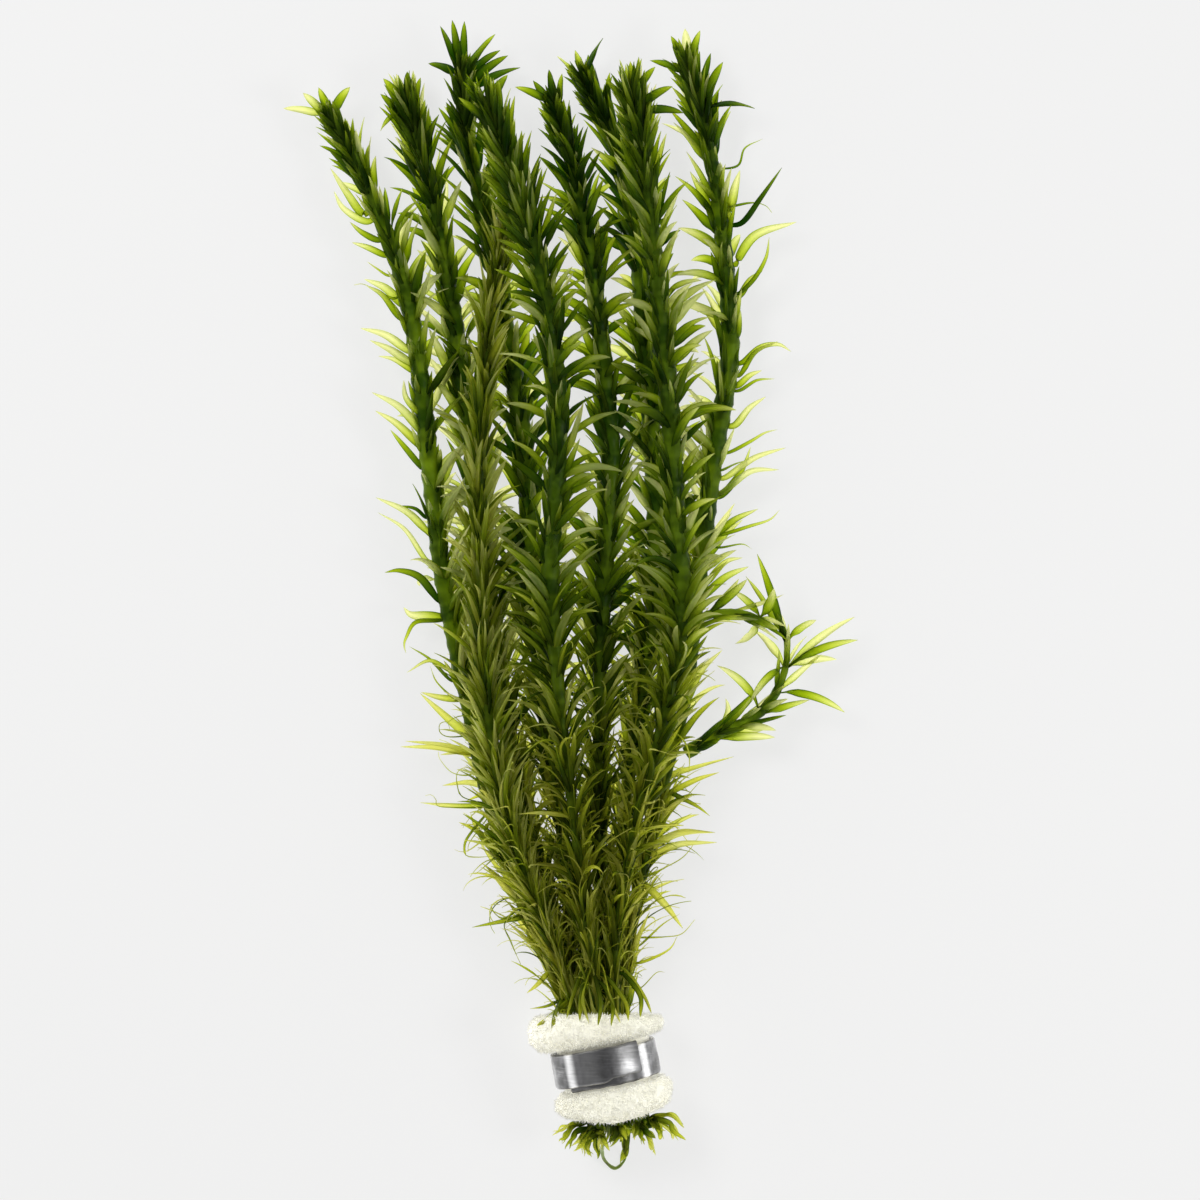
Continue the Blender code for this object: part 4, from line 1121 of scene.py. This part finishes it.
def lead_material(settings):
    """Dull rolled sheet lead: brushed along its length, with darker tarnish and painted highlights across
    it.
    """
    kit = NodeKit(bpy.data.materials.new("sheet_lead"))
    where = kit.place()
    stretched = kit.add("ShaderNodeMapping", Vector=where, Scale=(0.25, 3.0, 0.25)).outputs[0]
    brushed = kit.noise(stretched, 900.0)
    tarnish = kit.noise(where, 160.0, 4.0, 0.6)
    along = kit.growth()[0]
    colour = kit.blend(kit.ramp(tarnish, 0.38, 0.66), settings.lead, settings.tarnish)
    colour = kit.blend(kit.ramp(brushed, 0.5, 0.8, 0.0, 0.12), colour, settings.lead_streak_and_highlight)
    highlight_streaks = kit.ramp(brushed, 0.3, 0.6, 0.75, 1.0)
    # Painted highlights: bands of bright colour that stand for reflections, broken up by the brushed
    # streaks
    for share, width, strength in LEAD_HIGHLIGHTS:
        apart = kit.sum("ABSOLUTE", kit.sum("SUBTRACT", along, share), 0.0)
        highlight = kit.times(kit.ramp(apart, width * 0.1, width, strength, 0.0), highlight_streaks)
        colour = kit.blend(highlight, colour, settings.lead_streak_and_highlight)
    kit.shade({
        "Base Color": colour, "Metallic": 0.92,
        "Roughness": kit.ramp(tarnish, 0.3, 0.7, settings.roughness, settings.roughness + 0.2),
    })
    kit.bump(kit.sum("ADD", kit.times(brushed, 0.4), tarnish), 0.3, 0.0003)
    return kit.owner


def floor_material(settings):
    """A plain pale sheet with the faintest grain, lit from below like a light table. The camera sees less
    of its light than the bunch gets."""
    kit = NodeKit(bpy.data.materials.new("pale_floor"))
    darker = [part * 0.985 for part in settings.floor]
    seen = kit.add("ShaderNodeLightPath").outputs["Is Camera Ray"]
    kit.shade({
        "Base Color": kit.blend(kit.noise(kit.place(), 30.0, 2.0), settings.floor, darker),
        "Roughness": 0.9, "Specular IOR Level": 0.15, "Emission Color": (1.0, 1.0, 1.0),
        "Emission Strength": kit.ramp(seen, 0.0, 1.0, settings.floor_light, settings.floor_glow),
    })
    return kit.owner


# The foam's outline as distance along its axis and radius, how finely it is cut, and where its outside is
FOAM_OUTLINE = (
    (-10.3, 8.5), (-10.5, 9.5), (-9.8, 10.8), (-8.4, 11.7), (-6.6, 11.7), (-5.1, 10.7), (-4.2, 9.3),
    (0.0, 9.15), (4.1, 9.3), (4.8, 10.7), (6.0, 12.0), (7.4, 12.2), (8.7, 11.4), (9.2, 10.0),
    (8.8, 8.8), (6.0, 8.3), (-8.0, 8.0),
)
FOAM_STEP = 0.32
FOAM_TURNS = 260
OUTSIDE_FROM = 8.8
OUTSIDE_OVER = 1.6

# Under the lead the foam stays within this radius, for this far to each side of the middle. Its painted
# shade starts at the lead's edge and fades over a distance
WAIST_RADIUS = 9.3
WAIST_HALF = 4.0
LEAD_SHADE_FROM = 4.2
LEAD_SHADE_OVER = 1.3

# The upper roll: where it starts, how it swells at the left, how far and to what radius it is held at the
# right, how it leans and how much longer it is on top. The lower one: where it starts, how much shorter it
# is at its sides, how it leans and how much longer it is on top
UPPER_ROLL = 4.6
ROLL_SWELL = 2.0
ROLL_KNOB = 0.6
ROLL_RADIUS = 12.2
ROLL_SKEW = 0.46
UPPER_LONG = 0.26
LOWER_ROLL = -4.6
LOWER_SHORT = 0.18
LOWER_SKEW = 0.1
LOWER_LONG = 0.12

# The foam's relief as layers of noise, each with how fine it is and its height, the shifts of its edges,
# each with its size, how fine it is and where its noise starts, and its loose fibres
LUMPS = ((0.22, 0.8), (0.55, 0.5))
FUZZ = ((1.3, 0.3), (2.6, 0.24), (5.0, 0.16))
FRAYS = ((0.3, 0.8, (7, 3, 1)), (0.16, 3.1, (2, 8, 5)))
FIBRES = 15000
FIBRE_LENGTH = (0.3, 1.1)
FIBRE_WIDTH = 0.15
FIBRE_ROOT = 0.1
FOAM_MARGIN = 0.02


def relief(place, layers):
    """The height of layers of noise at a place."""
    return sum(noise.noise(place * pace) * height for pace, height in layers)


def foam_point(distance, radius, angle):
    """A point of the foam: lumpy on a large scale, fuzzy on a small one, flat on the floor."""
    above = max(0.0, distance - UPPER_ROLL)
    outside = min(1.0, max(0.0, (radius - OUTSIDE_FROM) / OUTSIDE_OVER))
    if above:
        radius += ROLL_SWELL * max(0.0, -math.cos(angle)) ** 2 * outside
        radius += ROLL_KNOB * max(0.0, math.cos(angle)) ** 4 * outside * (ROLL_RADIUS - radius)
    distance += above * (UPPER_LONG * max(0.0, math.sin(angle)) - ROLL_SKEW * math.cos(angle))
    ends = LOWER_SHORT * abs(math.cos(angle)) - LOWER_SKEW * math.cos(angle)
    distance += max(0.0, LOWER_ROLL - distance) * (ends - LOWER_LONG * math.sin(angle))
    place = Vector(base_point(distance, radius, angle))
    fuzz = relief(place, FUZZ)
    grown = radius + outside * (relief(place, LUMPS) + fuzz - 0.25)
    if abs(distance) < WAIST_HALF:
        grown = min(grown, WAIST_RADIUS)
    shift = sum(size * outside * noise.noise(place * pace + Vector(start)) for size, pace, start in FRAYS)
    point = base_point(distance + shift, grown, angle)
    point[2] = max(point[2], 0.02 + 0.05 * abs(fuzz))
    return point


def add_fibres(growth, points, rolls, chance):
    """Short fibres that stand out of the foam's rolls, each a thin closed spike."""
    normals = np.cross(np.roll(points, -1, axis=1) - points, np.roll(points, -1, axis=0) - points)
    middles = points.mean(axis=1, keepdims=True)
    if ((points - middles) * normals).sum() < 0:
        normals = -normals
    spikes, faces = [], []
    for i in range(FIBRES):
        turn, stop = chance.randrange(len(points)), chance.choice(rolls)
        lean = np.array([chance.gauss(0, 0.7) for _ in range(3)])
        out = unit(unit(normals[turn, stop]) + lean)
        side = unit(np.cross(out, UP + 0.01)) * FIBRE_WIDTH / 2
        over = unit(np.cross(side, out)) * FIBRE_WIDTH / 2
        foot = points[turn, stop] - out * FIBRE_ROOT
        tip = kept_in(foot + out * chance.uniform(*FIBRE_LENGTH), FOAM_MARGIN)
        spikes += [foot + side, foot - side + over, foot - side - over, tip]
        first = growth.count + 4 * i
        for corners in ((2, 1, 0), (0, 1, 3), (1, 2, 3), (2, 0, 3)):
            faces.append(tuple(first + corner for corner in corners))
    growth.add(np.array(spikes), np.zeros((len(spikes), 4)), faces, 0)


def build_foam(material):
    """The foam wrap as one closed ring of spongy surface with its fibres, with painted shade beside the
    lead.
    """
    outline = through([(d, r, 0.0) for d, r in FOAM_OUTLINE], FOAM_STEP, closed=True)
    angles = -np.linspace(0, math.tau, FOAM_TURNS, endpoint=False)
    rings = [[foam_point(distance, radius, angle) for distance, radius, _ in outline] for angle in angles]
    points = kept_in(np.array(rings), FOAM_MARGIN)
    index = np.arange(FOAM_TURNS * len(outline)).reshape(FOAM_TURNS, -1)
    after, below = np.roll(index, -1, axis=0), np.roll(index, -1, axis=1)
    faces = np.stack([index, below, np.roll(after, -1, axis=1), after], axis=-1).reshape(-1, 4)
    # Where the foam takes painted shade: on its upper side, fading out from the lead's edges
    beside = np.exp(-np.maximum(0.0, np.abs(outline[:, 0]) - LEAD_SHADE_FROM) / LEAD_SHADE_OVER)
    front = np.clip(np.sin(angles) * 1.3, 0, 1)
    values = np.zeros((*index.shape, 4))
    values[:, :, 0] = front[:, None] * beside[None]
    growth = Growth()
    growth.add(points, values, faces.tolist(), 0)
    rolls = [i for i, (distance, radius, _) in enumerate(outline) if radius > 9.4 and abs(distance) > 4.5]
    add_fibres(growth, points, rolls, random.Random("foam"))
    return growth.build("foam_wrap_spongy", [material])


# The lead strip, as in the construction
LEAD_WIDTH = 6.9
LEAD_THICKNESS = 0.9
LEAD_INNER = 9.45
LEAD_TURNS = 1.24
LEAD_LIFT_FROM = 0.74
LEAD_START = math.radians(140)
LEAD_CREEP = 1.2
LEAD_LAP_GAP = 0.12
LEAD_STEPS = 260
LEAD_TORN_FROM = 1.13
LEAD_TORN_TO = 1.15
LEAD_TORN = 0.6
LEAD_EDGE = 0.28
LEAD_DENTS = ((0.35, 0.12), (1.1, 0.05))


def ramped(value, start, end):
    """How far a value has gone from a start to an end, from 0 to 1."""
    return min(1.0, max(0.0, (value - start) / (end - start)))


def build_lead(material):
    """The strip of lead, wound over its own start, with soft edges, small dents and a torn outer corner."""
    growth = Growth()
    rings, values = [], []
    edge, across = LEAD_EDGE, np.linspace(-0.8, 0.8, 9)
    section = [(-1, edge), (-1, 1 - edge), (-1 + edge / 3, 1), *((x, 1) for x in across)]
    section += [(1 - edge / 3, 1), (1, 1 - edge), (1, edge), (1 - edge / 3, 0)]
    section += [*((x, 0) for x in across[::-1]), (-1 + edge / 3, 0)]
    for i in range(LEAD_STEPS + 1):
        share = i / LEAD_STEPS
        turns = share * LEAD_TURNS
        angle = LEAD_START - turns * math.tau
        inner = LEAD_INNER + ramped(turns, LEAD_LIFT_FROM, 1) * (LEAD_THICKNESS + LEAD_LAP_GAP)
        torn = LEAD_TORN * ramped(turns, LEAD_TORN_FROM, LEAD_TORN_TO)
        low, high = -LEAD_WIDTH / 2 + torn, LEAD_WIDTH / 2
        middle = LEAD_CREEP * (share - 0.5)
        ring = []
        for x, out in section:
            along = middle + low + (high - low) * (x + 1) / 2
            spot = Vector(base_point(along, inner, angle))
            dent = relief(spot, LEAD_DENTS)
            edge_wave = 0.14 * noise.noise(spot * 0.5 + Vector((4, 9, 2))) * abs(x) ** 3
            ring.append(base_point(along + edge_wave, inner + out * LEAD_THICKNESS + dent, angle))
        rings.append(ring)
        values.append([(share, 0.5, 0.5, 0.0)] * len(section))
    growth.add_rings(np.array(rings), np.array(values), 0)
    return growth.build("lead_strip_rolled", [material])


# The root thread, as in the construction
ROOT_RADIUS = 0.34
ROOT_SIDES = 10
ROOT_ROUTE = (
    (6.6, -109.4, 6.6), (6.4, -111.4, 3.6), (7.0, -113.6, 1.4), (9.0, -115.2, 0.7), (10.8, -113.8, 0.7),
    (11.2, -111.8, 1.6), (10.6, -110.0, 3.4),
)


def build_root(material):
    """The root thread as an uneven round strand."""
    growth, line = Growth(), through(ROOT_ROUTE, 0.35)
    heading = unit(np.gradient(line, axis=0))
    side = unit(np.cross(heading, UP + 0.01))
    over = np.cross(side, heading)
    turns = -np.linspace(0, math.tau, ROOT_SIDES, endpoint=False)
    rings = []
    for i, point in enumerate(line):
        radius = ROOT_RADIUS * (1 + 0.35 * noise.noise(Vector(point) * 0.9)) * (1.25 - 0.6 * i / len(line))
        rings.append(point + (np.outer(np.cos(turns), side[i]) + np.outer(np.sin(turns), over[i])) * radius)
    rings = np.array(rings)
    growth.add_rings(rings, np.full((*rings.shape[:2], 4), 0.5), 0)
    return growth.build("root_thread_strand", [material])


def adopt(piece, node):
    """Puts a piece in the place of its frame node, on the frame's one body."""
    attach(piece, "root")
    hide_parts(node)


def colour_setting(name, description, default):
    """A colour that a user can change."""
    return bpy.props.FloatVectorProperty(
        name=name, description=description, default=default, size=3, subtype="COLOR"
    )


def number_setting(name, description, default, **kind):
    """A number that a user can change, with its unit or subtype where one fits."""
    return bpy.props.FloatProperty(name=name, description=description, default=default, **kind)


class LeafSettings(bpy.types.PropertyGroup):
    """Sizes and colours of the leaves and stems."""

    leaf_length: number_setting("Leaf length", "Length of a full-grown leaf", FULL_LENGTH, unit="LENGTH")
    leaf_width: number_setting("Leaf width", "Width of a full-grown leaf", FULL_WIDTH, unit="LENGTH")
    leaf_thickness: number_setting("Leaf thickness", "Thickness at the middle rib", 0.0002, unit="LENGTH")
    roughness: number_setting("Roughness", "Roughness of the wet leaf", 0.25, subtype="FACTOR")
    translucency: number_setting(
        "Translucency", "Share of light that passes through a leaf", 0.75, subtype="FACTOR"
    )
    # Dark green is the low tone of leaves and stems, their mottling and the stems' whorl bands; on the low
    # stems under the others it is partly painted shade
    dark_green: colour_setting("Dark green", "Leaves of the dark stems", (0.010, 0.038, 0.001))
    bright_green: colour_setting("Bright green", "Leaves of the bright stems", (0.07, 0.17, 0.005))
    edge_green: colour_setting("Edge green", "Thin edges and tips", (0.19, 0.31, 0.025))
    deep_glow: colour_setting("Deep glow", "Light that has come through a dark leaf", (0.06, 0.17, 0.004))
    mid_glow: colour_setting("Middle glow", "Light that has come through a plain leaf", (0.68, 0.77, 0.07))
    old_glow: colour_setting("Old glow", "Light that has come through an old leaf", (0.86, 0.85, 0.24))
    glow: colour_setting("Glow", "Light that has come through the palest leaf", (0.96, 0.96, 0.62))
    old_green: colour_setting("Old green", "Olive of the older leaves", (0.105, 0.13, 0.005))
    stem_green: colour_setting("Stem green", "Stem between the whorls", (0.17, 0.28, 0.010))
    brown: colour_setting("Brown", "Specks, streaks and root", (0.075, 0.062, 0.012))


class WrapSettings(bpy.types.PropertyGroup):
    """Sizes and colours of the foam and the lead strip."""

    pore_size: number_setting("Pore size", "Distance between the foam's pores", 0.0007, unit="LENGTH")
    foam: colour_setting("Foam", "Foam", (0.99, 0.975, 0.85))
    stain: colour_setting("Stain", "Damp patches in the foam", (0.97, 0.94, 0.78))
    # Painted shade in the foam beside the lead
    shade_by_lead: colour_setting("Dirt", "Grey marks beside the lead", (0.60, 0.58, 0.47))
    # Pore is painted shade for the hollow of a pore
    pore: colour_setting("Pore", "Inside of a pore", (0.45, 0.40, 0.27))
    roughness: number_setting("Lead roughness", "Roughness of the lead", 0.3, subtype="FACTOR")
    lead: colour_setting("Lead", "Clean lead", (0.20, 0.20, 0.205))
    # Bright lead is both the brushed streaks and the painted highlights across the strip
    lead_streak_and_highlight: colour_setting("Bright lead", "Rubbed lines", (0.85, 0.85, 0.85))
    tarnish: colour_setting("Tarnish", "Tarnished lead", (0.08, 0.08, 0.08))


class StudioSettings(bpy.types.PropertyGroup):
    """The floor, lights and camera."""

    floor: colour_setting("Floor", "Colour of the floor", (0.20, 0.20, 0.198))
    floor_glow: number_setting("Floor glow", "How bright the floor's own light looks", 0.70)
    floor_light: number_setting("Floor light", "Light that comes up through the pale floor", 1.9)
    ambient: number_setting("Ambient light", "Strength of the light from all round", 0.95)
    key: number_setting("Key light", "Power of the large light over the bunch", 2.2, unit="POWER")
    view_width: number_setting("View width", "Width of floor that the camera sees", 0.240, unit="LENGTH")
    lens: number_setting("Lens", "Focal length in millimetres", 150.0)


# The studio in metres: half the floor's width, the spot that the camera is over, and each lamp's name,
# place, size, share of the key light's power, and whether wet leaves and lead mirror it
FLOOR_HALF = 1.5
CAMERA_OVER = (0.006, -0.0005, 0.010)
LAMPS = (
    ("key_lamp", (-0.30, 0.25, 0.60), 0.30, 1.0, False),
    ("side_lamp", (0.45, -0.10, 0.45), 0.22, 0.5, True),
)


class WATERWEED_OT_stems(bpy.types.Operator):
    """Builds the nine leafy stems and the two side shoots"""

    bl_idname = "waterweed.stems"
    bl_label = "Leafy stems"

    def execute(self, context):
        settings = context.scene.waterweed_leaves
        materials = [leaf_material(settings), stem_material(settings)]
        neighbours = Neighbours()
        for name, spec in {**STEMS, **SIDE_SHOOTS}.items():
            piece = grow_shoot(name, spec, neighbours, settings).build(name + "_leafy", materials)
            adopt(piece, name)
        return {"FINISHED"}


class WATERWEED_OT_root(bpy.types.Operator):
    """Builds the root thread below the cut ends"""

    bl_idname = "waterweed.root"
    bl_label = "Root thread"

    def execute(self, context):
        adopt(build_root(root_material(context.scene.waterweed_leaves)), "root_thread")
        return {"FINISHED"}


class WATERWEED_OT_foam(bpy.types.Operator):
    """Builds the spongy foam wrapped round the cut ends"""

    bl_idname = "waterweed.foam"
    bl_label = "Foam wrap"

    def execute(self, context):
        foam = build_foam(foam_material(context.scene.waterweed_wrap))
        adopt(foam, "foam_wrap")
        return {"FINISHED"}


class WATERWEED_OT_lead(bpy.types.Operator):
    """Builds the strip of lead that holds the bunch together"""

    bl_idname = "waterweed.lead"
    bl_label = "Lead strip"

    def execute(self, context):
        adopt(build_lead(lead_material(context.scene.waterweed_wrap)), "lead_strip")
        return {"FINISHED"}


class WATERWEED_OT_studio(bpy.types.Operator):
    """Sets the pale floor, the soft lights and the camera that looks straight down"""

    bl_idname = "waterweed.studio"
    bl_label = "Studio"

    def execute(self, context):
        settings = context.scene.waterweed_studio
        self.add_floor(settings)
        self.add_lights(context, settings)
        self.add_camera(context, settings)
        context.scene.view_settings.view_transform = "Standard"
        return {"FINISHED"}

    def add_floor(self, settings):
        """A wide floor just under the bunch."""
        mesh = bpy.data.meshes.new("floor")
        corners = [(x * FLOOR_HALF, y * FLOOR_HALF, 0) for x, y in ((-1, -1), (1, -1), (1, 1), (-1, 1))]
        mesh.from_pydata(corners, [], [(0, 1, 2, 3)])
        mesh.materials.append(floor_material(settings))
        put("floor", mesh)

    def add_lights(self, context, settings):
        """Even light from all round, weaker from straight above, and soft lamps above the bunch."""
        kit = NodeKit(bpy.data.worlds.new("soft_room"))
        height = kit.add("ShaderNodeSeparateXYZ", Vector=kit.place("Generated")).outputs["Z"]
        strength = kit.times(kit.ramp(height, 0.2, 0.75, 1.0, 0.25), settings.ambient)
        kit.shade({"Color": (1.0, 1.0, 1.0), "Strength": strength}, "Background")
        context.scene.world = kit.owner
        for name, place, size, share, mirrored in LAMPS:
            lamp = bpy.data.lights.new(name, "AREA")
            lamp.shape = "DISK"
            lamp.size = size
            lamp.energy = settings.key * share
            obj = put(name, lamp)
            obj.location = place
            obj.visible_glossy = mirrored
            obj.rotation_euler = (-Vector(place)).to_track_quat("-Z", "Y").to_euler()

    def add_camera(self, context, settings):
        """A long lens straight above the bunch, with the bunch's own place in the frame."""
        camera = bpy.data.cameras.new("camera")
        camera.lens = settings.lens
        distance = settings.view_width * settings.lens / camera.sensor_width
        obj = put("camera", camera)
        obj.location = Vector(CAMERA_OVER) + Vector((0.0, 0.0, distance))
        context.scene.camera = obj


class WATERWEED_PT_panel(bpy.types.Panel):
    """Lists the steps that build the bunch"""

    bl_idname = "WATERWEED_PT_panel"
    bl_label = "Waterweed Bunch"
    bl_space_type = "VIEW_3D"
    bl_region_type = "UI"
    bl_category = "Waterweed"

    def draw(self, context):
        for operator in OPERATORS:
            self.layout.operator(operator.bl_idname)
        for settings in (context.scene.waterweed_leaves, context.scene.waterweed_wrap,
                         context.scene.waterweed_studio):
            box = self.layout.box()
            for key in settings.__annotations__:
                box.prop(settings, key)


OPERATORS = (
    WATERWEED_OT_stems, WATERWEED_OT_root, WATERWEED_OT_foam, WATERWEED_OT_lead, WATERWEED_OT_studio,
)
CLASSES = (LeafSettings, WrapSettings, StudioSettings, *OPERATORS, WATERWEED_PT_panel)


def register():
    """Adds the classes and the settings to Blender."""
    for cls in CLASSES:
        bpy.utils.register_class(cls)
    bpy.types.Scene.waterweed_leaves = bpy.props.PointerProperty(type=LeafSettings)
    bpy.types.Scene.waterweed_wrap = bpy.props.PointerProperty(type=WrapSettings)
    bpy.types.Scene.waterweed_studio = bpy.props.PointerProperty(type=StudioSettings)


def unregister():
    """Takes them out again."""
    del bpy.types.Scene.waterweed_studio
    del bpy.types.Scene.waterweed_wrap
    del bpy.types.Scene.waterweed_leaves
    for cls in reversed(CLASSES):
        bpy.utils.unregister_class(cls)


def main():
    """Registers the classes, and builds every piece and the studio."""
    register()
    for operator in OPERATORS:
        group, name = operator.bl_idname.split(".")
        getattr(getattr(bpy.ops, group), name)()


if __name__ == "__main__":
    main()
